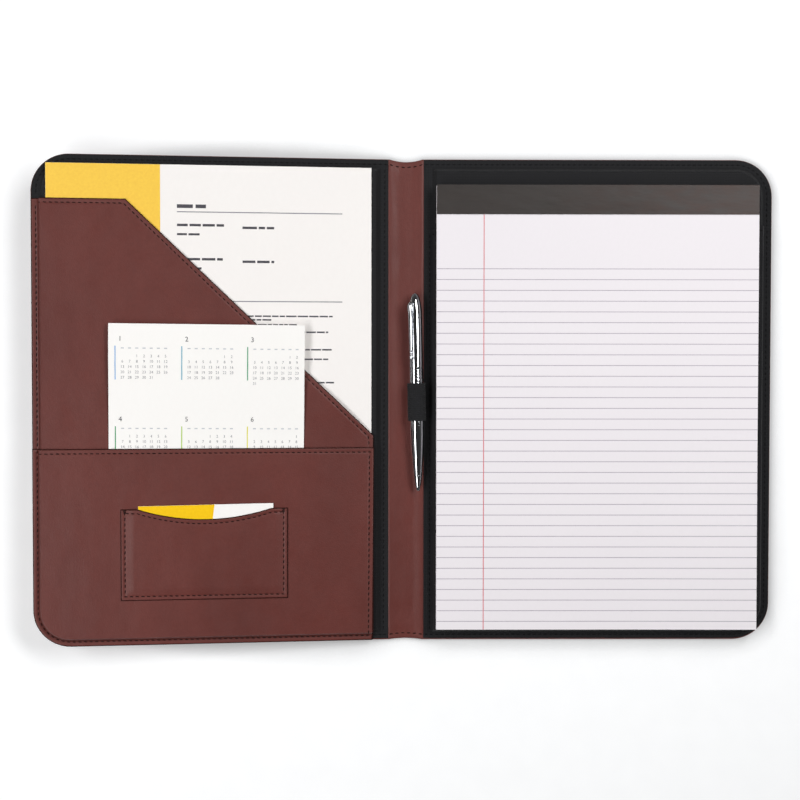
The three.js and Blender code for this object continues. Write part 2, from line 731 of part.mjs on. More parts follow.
// The spring clip, drawn from the side as (distance from the pen's axis, height) and narrowed to its end.
function penClip() {
  const inner = PEN_RADIUS + CLIP_RISE;
  const outer = inner + CLIP_THICKNESS;
  const root = boreRadius - 0.4 + PEN_FIT;
  const side = new THREE.Shape();
  side.moveTo(root, CLIP_ROOT);
  side.lineTo(outer - 1.2, CLIP_ROOT);
  side.quadraticCurveTo(outer, CLIP_ROOT, outer, CLIP_ROOT - 2);
  side.lineTo(outer - 0.2, CLIP_END + 4);
  side.lineTo(outer - 0.5, CLIP_END + 2.6);
  side.lineTo(outer, CLIP_END + 0.4);
  side.lineTo(outer - 0.5, CLIP_END);
  side.quadraticCurveTo(PEN_RADIUS + PEN_FIT - 0.2, CLIP_END + 1, PEN_RADIUS + 0.5, CLIP_END + 2.8);
  side.lineTo(inner - 0.2, CLIP_END + 4.4);
  side.lineTo(inner, CLIP_ROOT - 2 * CLIP_THICKNESS - 1);
  side.lineTo(inner - 0.5, CLIP_ROOT - 2 * CLIP_THICKNESS);
  side.lineTo(root, CLIP_ROOT - 2 * CLIP_THICKNESS);
  const options = { depth: CLIP_WIDTH, bevelEnabled: false, curveSegments: 6 };
  const clip = new THREE.ExtrudeGeometry(side, options).translate(0, 0, -CLIP_WIDTH / 2);
  const places = clip.getAttribute("position");
  for (let i = 0; i < places.count; i++) {
    const share = THREE.MathUtils.clamp((places.getY(i) - CLIP_END) / (CLIP_ROOT - CLIP_END), 0, 1);
    places.setZ(i, places.getZ(i) * (0.62 + 0.38 * share));
  }
  return clip.rotateY(-radians(CLIP_ANGLE));
}

// The assembly

const portfolio = new THREE.Group();

const backCover = new THREE.Group();
backCover.add(
  piece("back_outer_leather", outerLeather(), COLOURS.hide),
  piece("back_foam", foamPad(), COLOURS.foam),
  piece("back_board", stiffBoard(), COLOURS.board),
  piece("back_lining", liningCloth(), COLOURS.lining),
  piece("pad_slot_panel", slotPanel(), COLOURS.lining),
  piece("pad_backing", padBacking(), COLOURS.board),
  piece("pad_sheets", padBlock(PAD_STACK_Z, PAD_STACK, PAD_TOP, PAD_HEIGHT), COLOURS.paper),
  piece("pad_header_tape", headerTape(), COLOURS.header),
  piece(
    "pad_top_page",
    padBlock(PAGE_Z, PAGE, PAD_TOP - HEADER_HEIGHT - LAYER_GAP, PAD_HEIGHT - HEADER_HEIGHT - LAYER_GAP),
    COLOURS.paper,
  ),
);

const spine = new THREE.Group();
spine.add(
  piece("spine_outer_leather", spineLeather(), COLOURS.hide),
  piece("spine_inner_strip", spineStrip(), COLOURS.hide),
);

const pen = new THREE.Group();
pen.position.set(PEN_ACROSS, 0, PEN_Z);
pen.rotation.z = radians(PEN_LEAN);
pen.add(
  piece("pen_loop", penLoop(), COLOURS.elastic),
  piece("pen_upper_barrel", penUpperBarrel(), COLOURS.chrome),
  piece("pen_crown", penCrown(), COLOURS.chrome),
  piece("pen_clip", penClip(), COLOURS.chrome),
  piece("pen_band", penBand(), COLOURS.chrome),
  piece("pen_lower_barrel", penLowerBarrel(), COLOURS.chrome),
  piece("pen_tip_cone", penCone(), COLOURS.chrome),
  piece("pen_twist_mechanism", penMechanism(), COLOURS.brass),
  piece("pen_refill", penRefill(), COLOURS.brass),
);

// The front cover is made like the back one on the same side, mirrored, and tilted up about its crease.
const frontCover = new THREE.Group();
frontCover.position.set(CREASE, 0, -FRONT_FOLD_HEIGHT);
const frontPieces = [
  ["front_outer_leather", outerLeather(), COLOURS.hide],
  ["front_foam", foamPad(), COLOURS.foam],
  ["front_board", stiffBoard(), COLOURS.board],
  ["front_lining", liningCloth(), COLOURS.lining],
  ["letter_sheet", paper(LETTER, LETTER_Z), COLOURS.paper],
  ["document_pocket", documentPocket(), COLOURS.pocket],
  ["calendar_card", paper(CALENDAR, CALENDAR_Z), COLOURS.card],
  ["front_pocket", frontPocket(), COLOURS.pocket],
  ["business_card", paper(BUSINESS_CARD, CARD_Z), COLOURS.card],
  ["card_pocket", cardPocket(), COLOURS.pocket],
];
for (const [name, geometry, look] of frontPieces) {
  frontCover.add(piece(name, mirrored(geometry), look));
}
const frontHinge = new THREE.Group();
frontHinge.position.set(-CREASE, 0, FRONT_FOLD_HEIGHT);
frontHinge.rotation.y = radians(OPEN_TILT);
frontHinge.add(frontCover);

portfolio.add(backCover, spine, pen, frontHinge);

// The origin goes under the middle of the bounding box.
portfolio.updateMatrixWorld(true);
const bounds = new THREE.Box3().setFromObject(portfolio, true);
const middle = bounds.getCenter(new THREE.Vector3());
portfolio.position.set(-middle.x, -middle.y, -bounds.min.z);

export default portfolio;
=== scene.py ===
"""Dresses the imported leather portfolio: hide, linings, pockets, thread, papers, writing pad, loop and pen.

Shapes are worked out in millimetres, with X from the middle of the spine towards the outer edge of the
back cover, Y up the page and Z up from the table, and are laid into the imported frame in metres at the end.
"""

import math
import random

import bmesh
import bpy
from mathutils import Euler, Matrix, Vector, noise
from mathutils.bvhtree import BVHTree


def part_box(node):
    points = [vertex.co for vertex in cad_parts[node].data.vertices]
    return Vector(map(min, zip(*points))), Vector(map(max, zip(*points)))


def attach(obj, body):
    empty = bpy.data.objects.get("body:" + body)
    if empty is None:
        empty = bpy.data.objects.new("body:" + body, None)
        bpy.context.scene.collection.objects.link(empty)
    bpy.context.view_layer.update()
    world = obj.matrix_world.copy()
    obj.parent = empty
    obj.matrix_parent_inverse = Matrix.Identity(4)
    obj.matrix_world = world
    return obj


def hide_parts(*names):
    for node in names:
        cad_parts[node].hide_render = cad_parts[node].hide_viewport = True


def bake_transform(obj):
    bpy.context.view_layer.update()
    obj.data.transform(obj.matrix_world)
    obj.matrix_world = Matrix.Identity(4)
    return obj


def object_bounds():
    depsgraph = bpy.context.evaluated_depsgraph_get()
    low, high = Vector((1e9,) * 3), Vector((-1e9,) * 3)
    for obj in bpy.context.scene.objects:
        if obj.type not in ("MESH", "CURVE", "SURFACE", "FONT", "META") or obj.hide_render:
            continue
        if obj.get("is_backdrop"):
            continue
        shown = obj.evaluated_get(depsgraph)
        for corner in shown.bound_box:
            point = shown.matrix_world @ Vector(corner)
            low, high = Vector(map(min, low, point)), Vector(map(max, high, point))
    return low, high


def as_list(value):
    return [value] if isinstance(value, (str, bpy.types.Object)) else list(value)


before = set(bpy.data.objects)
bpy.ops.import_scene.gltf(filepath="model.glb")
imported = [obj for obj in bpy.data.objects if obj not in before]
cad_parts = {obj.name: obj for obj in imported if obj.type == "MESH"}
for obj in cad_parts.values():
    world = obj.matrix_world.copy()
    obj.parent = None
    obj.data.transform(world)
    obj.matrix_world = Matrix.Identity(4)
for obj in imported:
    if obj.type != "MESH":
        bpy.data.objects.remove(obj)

bl_info = {
    "name": "Leather Portfolio",
    "version": (1, 0, 0),
    "blender": (4, 5, 0),
    "location": "3D View > Sidebar > Portfolio",
    "description": "Dresses the packed leather portfolio with its hide, linings, papers, pad and pen",
    "category": "Object",
}

CAD_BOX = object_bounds()
MM = 0.001

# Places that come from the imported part
SPINE_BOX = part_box("spine_outer_leather")
COVER_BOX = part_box("back_outer_leather")
MIDDLE = (SPINE_BOX[0].x + SPINE_BOX[1].x) / 2 / MM
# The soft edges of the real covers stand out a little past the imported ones
OUTER_EDGE = COVER_BOX[1].x / MM - MIDDLE + 0.9
HALF_HEIGHT = COVER_BOX[1].y / MM + 0.6
CORNER = 25
LINING_START = 12
SEAM_INSET = 3.6
CREASE = 11
FOLD = Vector((-CREASE, 0, 2.5))
OPEN_TILT = math.radians(5.86)
SOFT_START, SOFT_END = 4, 16
TOP_DIP, FOOT_DIP = 1.8, 0.8

# Heights of each sheet's underside: along the sewn edge, and on the level behind the border and slope
LINING = {"low": 1.9, "level": 5.9, "border": 5.5, "slope": 3.8}
SLOT_PANEL = {"low": 2.5, "level": 7.9, "border": 5.3, "slope": 2.6}
PANEL_START, PANEL_INSET, PANEL_HEAD, PANEL_HEAD_AT_SPINE = 13.8, 0.6, 118.55, 115.65
DOCUMENT = {"low": 2.9, "level": 7.3, "border": 4.6, "slope": 2.6}
FRONT = {"low": 4.0, "level": 9.0, "border": 4.0, "slope": 2.6}

# The slanted mouth of the document pocket, the level mouth of the front pocket, and their spine edges
MOUTH_FOOT, MOUTH_SHOULDER, MOUTH_SEAM = Vector((22.5, -23.3)), Vector((186.6, 133.5)), 3.0
FRONT_MOUTH, FRONT_START = -31.3, 22.3
CARD_POCKET = {"left": 80.4, "right": 190.4, "bottom": -132, "top": -71.3, "low": 9.95, "level": 10.65}
SCOOP_DEPTH, SCOOP_SHOULDER = 7, 11

LAID = Matrix.Translation((MIDDLE * MM, 0, 0)) @ Matrix.Scale(MM, 4)
MIRRORED = Matrix.Scale(-1, 4, (1, 0, 0))
PEN_PLACE = LAID @ Matrix.Translation((7.1, 0, 8.0)) @ Matrix.Rotation(math.radians(1.07), 4, "Z")


def srgb(code):
    """An sRGB hex code as a linear colour with alpha."""
    parts = [int(code[i : i + 2], 16) / 255 for i in (0, 2, 4)]
    return tuple(c / 12.92 if c <= 0.04045 else ((c + 0.055) / 1.055) ** 2.4 for c in parts) + (1.0,)


def colour_choice(name, description, code):
    """A colour that a user may change."""
    return bpy.props.FloatVectorProperty(
        name=name, description=description, subtype="COLOR", size=4, min=0, max=1, default=srgb(code)
    )


def length_choice(name, description, millimetres):
    """A length that a user may change."""
    return bpy.props.FloatProperty(
        name=name, description=description, unit="LENGTH", min=0.0001, default=millimetres * MM, precision=5
    )


class PortfolioSizes(bpy.types.PropertyGroup):
    """Sizes of the thread and of the writing pad's print"""

    stitch_pitch: length_choice("Stitch pitch", "Distance from one stitch to the next", 3.7)
    stitch_length: length_choice("Stitch length", "Length of the thread that shows in one stitch", 2.5)
    thread_width: length_choice("Thread width", "Width of the sewing thread", 0.85)
    rule_spacing: length_choice("Rule spacing", "Distance between two rules of the writing pad", 7.185)
    rule_width: length_choice("Rule width", "Width of a printed rule", 0.42)
    page_lift: length_choice("Page lift", "How far the loose corner of the top page curls up", 0.9)


class PortfolioColours(bpy.types.PropertyGroup):
    """Colours of the materials"""

    leather: colour_choice("Leather", "Brown of the bonded leather", "65302A")
    thread: colour_choice("Thread", "Sewing thread on the leather", "260E0A")
    lining: colour_choice("Lining", "Black lining cloth", "1A1A1C")
    elastic: colour_choice("Elastic", "Webbing of the pen loop", "1C1C1E")
    pad_paper: colour_choice("Pad paper", "Writing paper of the pad", "F3EEF2")
    rules: colour_choice("Rules", "Printed rules of the pad", "A8A0AC")
    margin: colour_choice("Margin", "Printed margin line of the pad", "DE6E78")
    binding: colour_choice("Binding strip", "Coated strip over the head of the pad", "36302D")
    letter_paper: colour_choice("Letter paper", "Paper of the letter and the cards", "FBF7F4")
    yellow: colour_choice("Yellow print", "Printed yellow of the letter", "FFCD48")


def sizes():
    return bpy.context.scene.portfolio_sizes


def colours():
    return bpy.context.scene.portfolio_colours


# Meshes


def ease(share):
    """A smooth step from 0 to 1."""
    share = min(max(share, 0), 1)
    return share * share * (3 - 2 * share)


def inside_by(x, y):
    """How far a place lies inside the edge of a cover, which is round at its two outer corners."""
    over = x - (OUTER_EDGE - CORNER)
    up = abs(y) - (HALF_HEIGHT - CORNER)
    past = math.hypot(over, up) if over > 0 and up > 0 else max(over, up)
    return min(CORNER - past, x - LINING_START)


def outline(bm, corners):
    """One face through (x, y, radius) corners, anticlockwise, with those corners rounded."""
    verts = [bm.verts.new((x, y, 0)) for x, y, _ in corners]
    bm.faces.new(verts)
    for vert, (_, _, radius) in zip(verts, corners):
        if radius:
            bmesh.ops.bevel(
                bm,
                geom=[vert],
                offset=radius,
                offset_type="OFFSET",
                segments=14,
                profile=0.5,
                affect="VERTICES",
                material=-1,
            )
    bm.normal_update()
    return bm.faces[:][0]


def step_in(bm, face, steps, sign=1):
    """Steps a face inwards through (distance from its edge, height) pairs that start where it is."""
    for (inset, height), (next_inset, next_height) in zip(steps, steps[1:]):
        bmesh.ops.inset_region(
            bm,
            faces=[face],
            thickness=next_inset - inset,
            depth=(next_height - height) * sign,
            use_boundary=True,
            use_even_offset=True,
        )


def extruded(bm, faces, kind):
    """Extrudes faces and gives the new vertices, or the new faces."""
    made = bmesh.ops.extrude_face_region(bm, geom=faces)["geom"]
    return [item for item in made if isinstance(item, kind)]


def give_depth(bm, face, over, under):
    """Makes a closed sheet of one face: over and under are the steps of its upper and lower side."""
    raised = extruded(bm, [face], bmesh.types.BMVert)
    bmesh.ops.translate(bm, verts=raised, vec=(0, 0, over[0][1]))
    lower = [vert for vert in bm.verts if vert not in raised]
    bmesh.ops.translate(bm, verts=lower, vec=(0, 0, under[0][1]))
    bm.normal_update()
    level = sorted(bm.faces, key=lambda f: f.calc_center_median().z)
    step_in(bm, level[-1], over)
    step_in(bm, level[0], under, -1)


def cut_at(bm, places, axis):
    """Cuts a mesh along planes across X (axis 0) or Y (axis 1), so that it can bend there."""
    normal = Vector((axis == 0, axis == 1, 0))
    for place in places:
        bmesh.ops.bisect_plane(
            bm, geom=bm.verts[:] + bm.edges[:] + bm.faces[:], plane_co=normal * place, plane_no=normal
        )


def clear_before(bm, place):
    """Takes away what lies before a plane across X and closes the cut."""
    cut = bmesh.ops.bisect_plane(
        bm,
        geom=bm.verts[:] + bm.edges[:] + bm.faces[:],
        plane_co=(place, 0, 0),
        plane_no=(1, 0, 0),
        clear_inner=True,
    )
    edges = [item for item in cut["geom_cut"] if isinstance(item, bmesh.types.BMEdge)]
    bmesh.ops.contextual_create(bm, geom=edges)


def lower_edges(bm, low, level, border, slope):
    """Lets a level sheet down to the height of the seam, along the edges of its cover."""
    for vert in bm.verts:
        share = ease((inside_by(vert.co.x, vert.co.y) - border) / slope)
        vert.co.z += low + (level - low) * share


def pinch(bm):
    """Draws the ends of the spine in a little, as its leather sags into a valley."""
    for vert in bm.verts:
        vert.co.y *= pinched(vert.co.x, vert.co.y)


def pinched(x, y):
    """How far in the edge of the spine stands, as a share of its height."""
    dip = TOP_DIP if y > 0 else FOOT_DIP
    return 1 - dip / HALF_HEIGHT * max(0, 1 - (x / CREASE) ** 2)


def box_in(bm, low, high):
    """A box from one corner to another."""
    low, high = Vector(low), Vector(high)
    matrix = Matrix.Translation((low + high) / 2) @ Matrix.Diagonal((*(high - low), 1))
    return bmesh.ops.create_cube(bm, size=1, matrix=matrix)["verts"]


def leaf(bm, low, high, z, thickness, x_segments=24, y_segments=30):
    """A sheet of paper between two corners, fine enough to curl."""
    wide, tall = high[0] - low[0], high[1] - low[1]
    matrix = Matrix.Translation((low[0] + wide / 2, low[1] + tall / 2, z + thickness))
    bmesh.ops.create_grid(
        bm,
        x_segments=x_segments,
        y_segments=y_segments,
        size=0.5,
        matrix=matrix @ Matrix.Diagonal((wide, tall, 1, 1)),
    )
    under = extruded(bm, bm.faces[:], bmesh.types.BMVert)
    bmesh.ops.translate(bm, verts=under, vec=(0, 0, -thickness))
    bmesh.ops.recalc_face_normals(bm, faces=bm.faces[:])


def turned(profile, steps=72):
    """A body of revolution about Y through (radius, height) points."""
    bm = bmesh.new()
    verts = [bm.verts.new((radius, height, 0)) for radius, height in profile]
    edges = [bm.edges.new(pair) for pair in zip(verts, verts[1:])]
    bmesh.ops.spin(
        bm, geom=verts + edges, cent=(0, 0, 0), axis=(0, 1, 0), angle=math.tau, steps=steps, use_merge=True
    )
    bmesh.ops.remove_doubles(bm, verts=bm.verts[:], dist=1e-4)
    bmesh.ops.recalc_face_normals(bm, faces=bm.faces[:])
    return bm


def on_back(bm):
    """Lays a mesh into the frame, where the back cover is."""
    bm.transform(LAID)


def on_front(bm, gradual=False):
    """Lays a mesh that was made on the back cover's side onto the front cover."""
    bm.transform(MIRRORED)
    bmesh.ops.reverse_faces(bm, faces=bm.faces[:])
    stand_up(bm, gradual)


def stand_up(bm, gradual=False):
    """Tilts the front cover up about its fold; gradual leaves the spine flat and bends the soft leather."""
    for vert in bm.verts:
        share = ease((-vert.co.x - SOFT_START) / (SOFT_END - SOFT_START)) if gradual else 1
        turn = Matrix.Rotation(OPEN_TILT * share, 4, "Y")
        vert.co = FOLD + turn @ (vert.co - FOLD)
    bm.transform(LAID)


def make_piece(name, bm, materials, body=None, replaces=(), slot=None, smooth=32, weighted=True):
    """Turns a finished bmesh into a piece that rides on a body and stands for CAD nodes."""
    mesh = bpy.data.meshes.new(name)
    bm.to_mesh(mesh)
    bm.free()
    piece = bpy.data.objects.new(name, mesh)
    bpy.context.scene.collection.objects.link(piece)
    for material in materials if isinstance(materials, (list, tuple)) else [materials]:
        mesh.materials.append(material)
    mesh.shade_smooth()
    mesh.set_sharp_from_angle(angle=math.radians(smooth))
    if weighted:
        modifier = piece.modifiers.new("Even shading", "WEIGHTED_NORMAL")
        modifier.keep_sharp = True
    if body:
        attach(piece, body)
    if replaces:
        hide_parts(*replaces)
    return piece


def across_fold(piece):
    """Bakes a piece's placing into its mesh."""
    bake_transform(piece)


# Thread


def walk(points, pitch):
    """Even steps along a line of points: each place with its direction."""
    pairs = [(a, b) for a, b in zip(points, points[1:]) if (b - a).length > 1e-6]
    total = sum((b - a).length for a, b in pairs)
    count = max(1, round(total / pitch))
    run, target = 0, total / count / 2
    for a, b in pairs:
        length = (b - a).length
        while target <= run + length:
            yield a.lerp(b, (target - run) / length), (b - a).normalized()
            target += total / count
        run += length


def seam_round(inset, start=LINING_START):
    """The line that runs round a cover at a distance from its edge, from one spine end to the other."""
    bm = bmesh.new()
    high, right = HALF_HEIGHT - inset, OUTER_EDGE - inset
    radius = CORNER - inset
    face = outline(bm, [(start, -high, 0), (right, -high, radius), (right, high, radius), (start, high, 0)])
    points = [Vector((vert.co.x, vert.co.y)) for vert in face.verts]
    bm.free()
    first = min(range(len(points)), key=lambda i: (points[i].x - start) + (points[i].y + high))
    return points[first:] + points[:first]


def one_stitch():
    """One stitch as a small spindle of thread: one unit long and wide each way from its middle."""
    bm = bmesh.new()
    bmesh.ops.create_uvsphere(bm, u_segments=6, v_segments=6, radius=1)
    mesh = bpy.data.meshes.new("stitch")
    bm.to_mesh(mesh)
    bm.free()
    return mesh


def sew(bm, points, surfaces, side=1):
    """Lays stitches along a line, on whichever surface is outermost there; side is 1 for the upper side or
    -1 for the underside. A stitch slants a little, as one thread passes round the other."""
    size = sizes()
    half_length, half_width = size.stitch_length / MM / 2, size.thread_width / MM / 2
    shape = Matrix.Rotation(math.radians(5), 4, "Y") @ Matrix.Diagonal(
        (half_width, half_width * 0.7, half_length, 1)
    )
    stitch, laid = one_stitch(), Matrix()
    line = [Vector(point) for point in points]
    for place, along in walk(line, size.stitch_pitch / MM):
        above, down = Vector((place.x, place.y, 90 * side)), Vector((0, 0, -side))
        hits = [hit for hit in (tree.ray_cast(above, down) for tree in surfaces) if hit[0]]
        if not hits:
            continue
        spot, normal, _, _ = max(hits, key=lambda hit: hit[0].z * side)
        length = Vector((along.x, along.y, 0))
        length = (length - normal * length.dot(normal)).normalized()
        turn = Matrix((normal.cross(length), normal, length)).transposed().to_4x4()
        matrix = Matrix.Translation(spot + normal * 0.06) @ turn @ shape
        stitch.transform(matrix @ laid.inverted())
        bm.from_mesh(stitch)
        laid = matrix
    bpy.data.meshes.remove(stitch)


# Materials

MAPPING, NOISE, RANGE = "ShaderNodeMapping", "ShaderNodeTexNoise", "ShaderNodeMapRange"
MIX, BUMP, MATH = "ShaderNodeMix", "ShaderNodeBump", "ShaderNodeMath"
SPECULAR = "Specular IOR Level"
FINISHES = {}


def feed(tree, node, inputs):
    """Gives a node's inputs their values, or links from the outputs of other nodes."""
    for key, value in inputs.items():
        if isinstance(value, bpy.types.NodeSocket):
            tree.links.new(value, node.inputs[key])
        else:
            node.inputs[key].default_value = value


def add(tree, kind, inputs, output=0, **settings):
    """Adds a node with its settings and its inputs, and returns one of its outputs. A colour mix has its
    share at input 0, its colours at 6 and 7, and its result at output 2."""
    node = tree.nodes.new(kind)
    for key, value in settings.items():
        setattr(node, key, value)
    feed(tree, node, inputs)
    return node.outputs[output]


def new_material(name):
    """An empty material with its tree and its Object coordinates."""
    material = bpy.data.materials.new(name)
    material.use_nodes = True
    return material, material.node_tree, add(material.node_tree, "ShaderNodeTexCoord", {}, "Object")


def shaded(colour, factor):
    """A colour made darker or lighter."""
    return tuple(min(1.0, c * factor) for c in colour[:3]) + (1.0,)


def cloudy(tree, place, counts, detail=3.0, fineness=0.55):
    """An uneven pattern with its own count per metre along X, Y and Z."""
    spread = add(tree, MAPPING, {"Vector": place, "Scale": counts})
    return add(tree, NOISE, {"Vector": spread, "Scale": 1.0, "Detail": detail, "Roughness": fineness})


def mottled(tree, pattern, first, second, low=0.25, high=0.75, most=1.0):
    """A colour that wanders from one shade to another as a pattern rises from low to high."""
    share = add(tree, RANGE, {"Value": pattern, "From Min": low, "From Max": high, "To Max": most})
    return add(tree, MIX, {0: share, 6: first, 7: second}, 2, data_type="RGBA")


def surface(tree, pattern, base, roughness, sockets):
    """Gives the shader its colour, a roughness that follows a pattern, and its other sockets."""
    gloss = {"Value": pattern, "From Min": 0.25, "From Max": 0.75}
    gloss["To Min"], gloss["To Max"] = roughness
    sockets = {"Base Color": base, "Roughness": add(tree, RANGE, gloss), **sockets}
    feed(tree, tree.nodes["Principled BSDF"], sockets)


def grained(name, colour, counts, detail, shades, roughness, relief=None, fineness=0.55, **sockets):
    """A material with one grain, which shows in its colour, its gloss and, where relief gives a depth and
    a strength, in its relief. Sockets of the shader are named with underscores."""
    material, tree, place = new_material(name)
    grain = cloudy(tree, place, counts, detail, fineness)
    base = mottled(tree, grain, shaded(colour, shades[0]), shaded(colour, shades[1]))
    plain = {key.replace("_", " "): value for key, value in sockets.items()}
    if relief:
        depth, strength = relief
        plain["Normal"] = add(tree, BUMP, {"Height": grain, "Distance": depth, "Strength": strength})
    surface(tree, grain, base, roughness, plain)
    return material


def bonded_leather():
    """Bonded leather with a smooth polyurethane face: the coat gives it a soft sheen, the rolled-in grain
    is a fine pebble, and the brown is cloudy where the finish was sprayed."""
    material, tree, place = new_material("Bonded_leather_brown")
    brown = colours().leather
    clouds = cloudy(tree, place, (26, 11, 26), 4.0)
    base = mottled(tree, clouds, shaded(brown, 0.86), shaded(brown, 1.16))
    flecks = cloudy(tree, place, (420,) * 3, 2.0)
    base = mottled(tree, flecks, base, shaded(brown, 0.72), 0.35, 0.8, 0.35)
    # The pores are 0.4 mm apart on such leather; they are drawn 0.9 mm apart, so that they show.
    pores = add(tree, "ShaderNodeTexVoronoi", {"Vector": place, "Scale": 1100.0, "Randomness": 1.0})
    soft = add(tree, BUMP, {"Height": cloudy(tree, place, (30, 22, 30), 2.0), "Distance": 0.0012})
    relief = add(tree, BUMP, {"Height": pores, "Distance": 0.00009, "Strength": 0.55, "Normal": soft})
    surface(tree, cloudy(tree, place, (90,) * 3), base, (0.42, 0.54), {SPECULAR: 0.36, "Normal": relief})
    return material


def woven_lining():
    """Polyester lining, plain-woven and calendered: two crossing sets of fine threads, and a dull
    sheen."""
    material, tree, place = new_material("Woven_polyester_lining")
    black = colours().lining
    # The threads are 0.3 mm apart on such cloth; they are drawn 1.8 mm apart, so that the weave shows.
    wave = {"Vector": place, "Scale": 175.0, "Distortion": 0.4}
    threads = [add(tree, "ShaderNodeTexWave", wave, "Fac", bands_direction=axis) for axis in "YX"]
    weave = add(tree, MATH, dict(enumerate(threads)), operation="MULTIPLY")
    dust = cloudy(tree, place, (38,) * 3, 4.0)
    base = mottled(tree, dust, shaded(black, 0.75), shaded(black, 1.3))
    base = add(tree, MIX, {0: weave, 6: base, 7: shaded(black, 1.5)}, 2, data_type="RGBA")
    soft = add(tree, BUMP, {"Height": cloudy(tree, place, (40, 18, 30)), "Distance": 0.0012})
    cloth = add(tree, BUMP, {"Height": weave, "Distance": 0.00012, "Strength": 0.6, "Normal": soft})
    sheen = {"Sheen Weight": 0.08, "Sheen Roughness": 0.5, SPECULAR: 0.22, "Normal": cloth}
    surface(tree, dust, base, (0.72, 0.86), sheen)
    return material


def coated_strip():
    """Binding strip of varnished dark paper: glossy, and slightly wavy from the glue, so that its
    reflections come in streaks."""
    material, tree, place = new_material("Varnished_binding_strip")
    dark = colours().binding
    streaks = cloudy(tree, place, (60, 150, 60), 5.0, 0.65)
    # Along X the strip is painted lighter and redder towards its right end: a painted sheen where the light
    # catches it.
    across = add(tree, "ShaderNodeSeparateXYZ", {0: place}, "X")
    painted_sheen = mottled(tree, across, dark, srgb("48352F"), 0.09, 0.2)
    base = mottled(tree, streaks, shaded(dark, 0.75), painted_sheen)
    waves = add(tree, BUMP, {"Height": cloudy(tree, place, (26, 70, 60)), "Distance": 0.0009})
    fibres = cloudy(tree, place, (900,) * 3, 2.0)
    tooth = add(tree, BUMP, {"Height": fibres, "Distance": 0.00003, "Strength": 0.4, "Normal": waves})
    coat = {SPECULAR: 0.33, "Coat Weight": 0.04, "Coat Roughness": 0.2, "Normal": tooth}
    surface(tree, streaks, base, (0.46, 0.6), coat)
    return material


def paper(name, colour, roughness=0.62, tooth=0.00004):
    """Uncoated or coated paper: pressed fibres give a faint tooth and a slightly uneven white."""
    material, tree, place = new_material(name)
    fibres = cloudy(tree, place, (420, 240, 420), 4.0, 0.6)
    base = mottled(tree, fibres, shaded(colour, 0.975), shaded(colour, 1.0))
    base = mottled(tree, cloudy(tree, place, (9,) * 3, 2.0), base, shaded(colour, 0.965), most=0.5)
    relief = add(tree, BUMP, {"Height": fibres, "Distance": tooth, "Strength": 0.5})
    gloss = (roughness - 0.05, roughness + 0.06)
    surface(tree, fibres, base, gloss, {SPECULAR: 0.35, "Normal": relief})
    return material


def ink(name, colour, roughness=0.5, specular=0.5):
    """Offset printing ink on paper, or edge paint on leather: even, with the tooth of what it lies on
    showing in its gloss."""
    gloss = (roughness - 0.05, roughness + 0.08)
    return grained(name, colour, (600,) * 3, 3.0, (0.94, 1.05), gloss, Specular_IOR_Level=specular)


def sewing_thread(name, colour):
    """Bonded polyester thread: twisted, slightly waxy, so it takes small highlights."""
    relief = (0.0001, 0.5)
    return grained(name, colour, (1500,) * 3, 2.0, (0.7, 1.4), (0.6, 0.75), relief, Specular_IOR_Level=0.2)


def elastic_webbing():
    """Knitted elastic: rubber cords covered in matt black yarn, which takes hardly any light."""
    return grained(
        "Knitted_elastic_black", colours().elastic, (1600, 300, 1600), 2.0, (0.6, 1.7), (0.8, 0.95),
        (0.0001, 0.6), Sheen_Weight=0.1, Specular_IOR_Level=0.25,
    )


def polished_metal(name, colour, roughness=(0.025, 0.06)):
    """Plated and polished brass: a clear mirror with hairline scratches along the pen."""
    counts, relief = (2600, 90, 2600), (0.000002, 0.2)
    return grained(name, colour, counts, 3.0, (0.94, 1.0), roughness, relief, Metallic=1.0)


def pressed_board(name, colour, flecks=520):
    """Grey chipboard or foam: a flecked, matt, open surface."""
    gloss, relief = (0.85, 0.97), (0.0001, 0.5)
    return grained(name, colour, (flecks,) * 3, 5.0, (0.75, 1.15), gloss, relief, 0.7)


def finishes():
    """All the materials of the portfolio by short name, made once."""
    if not FINISHES:
        colour = colours()
        FINISHES.update(
            leather=bonded_leather(),
            # Dark edge paint on the cut edges of the leather, which also stands for painted shade along
            # those edges
            edge_paint=ink("Leather_edge_paint_brown", srgb("2E1410"), 0.8, 0.1),
            lining=woven_lining(),
            elastic=elastic_webbing(),
            thread=sewing_thread("Bonded_thread_brown", colour.thread),
            black_thread=sewing_thread("Bonded_thread_black", srgb("070709")),
            pad_paper=paper("Uncoated_writing_paper", colour.pad_paper),
            letter_paper=paper("Uncoated_letter_paper", colour.letter_paper),
            card=paper("Coated_card", srgb("FFFDFA"), 0.45, 0.00002),
            rules=ink("Ruling_ink_grey", colour.rules),
            margin=ink("Ruling_ink_red", colour.margin),
            yellow=ink("Offset_ink_yellow", colour.yellow, 0.45),
            deep_yellow=ink("Offset_ink_deep_yellow", srgb("FFCB00"), 0.45, 0.3),
            dark=ink("Offset_ink_black", srgb("45434A")),
            grey=ink("Offset_ink_grey", srgb("85838A")),
            pale=ink("Offset_ink_pale_grey", srgb("C3C6CC")),
            strip=coated_strip(),
            chrome=polished_metal("Chromed_brass", srgb("DDDFE3")),
            brass=polished_metal("Turned_brass", srgb("C9A44E"), (0.2, 0.32)),
            board=pressed_board("Grey_chipboard", srgb("8F8880")),
            foam=pressed_board("Polyurethane_foam", srgb("D9D3C4"), 900),
        )
    return FINISHES


def dress_node(name, finish):
    """Gives a CAD node that stays in view a better material."""
    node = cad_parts[name]
    node.data.materials.clear()
    node.data.materials.append(finishes()[finish])


# The outer leather and the spine

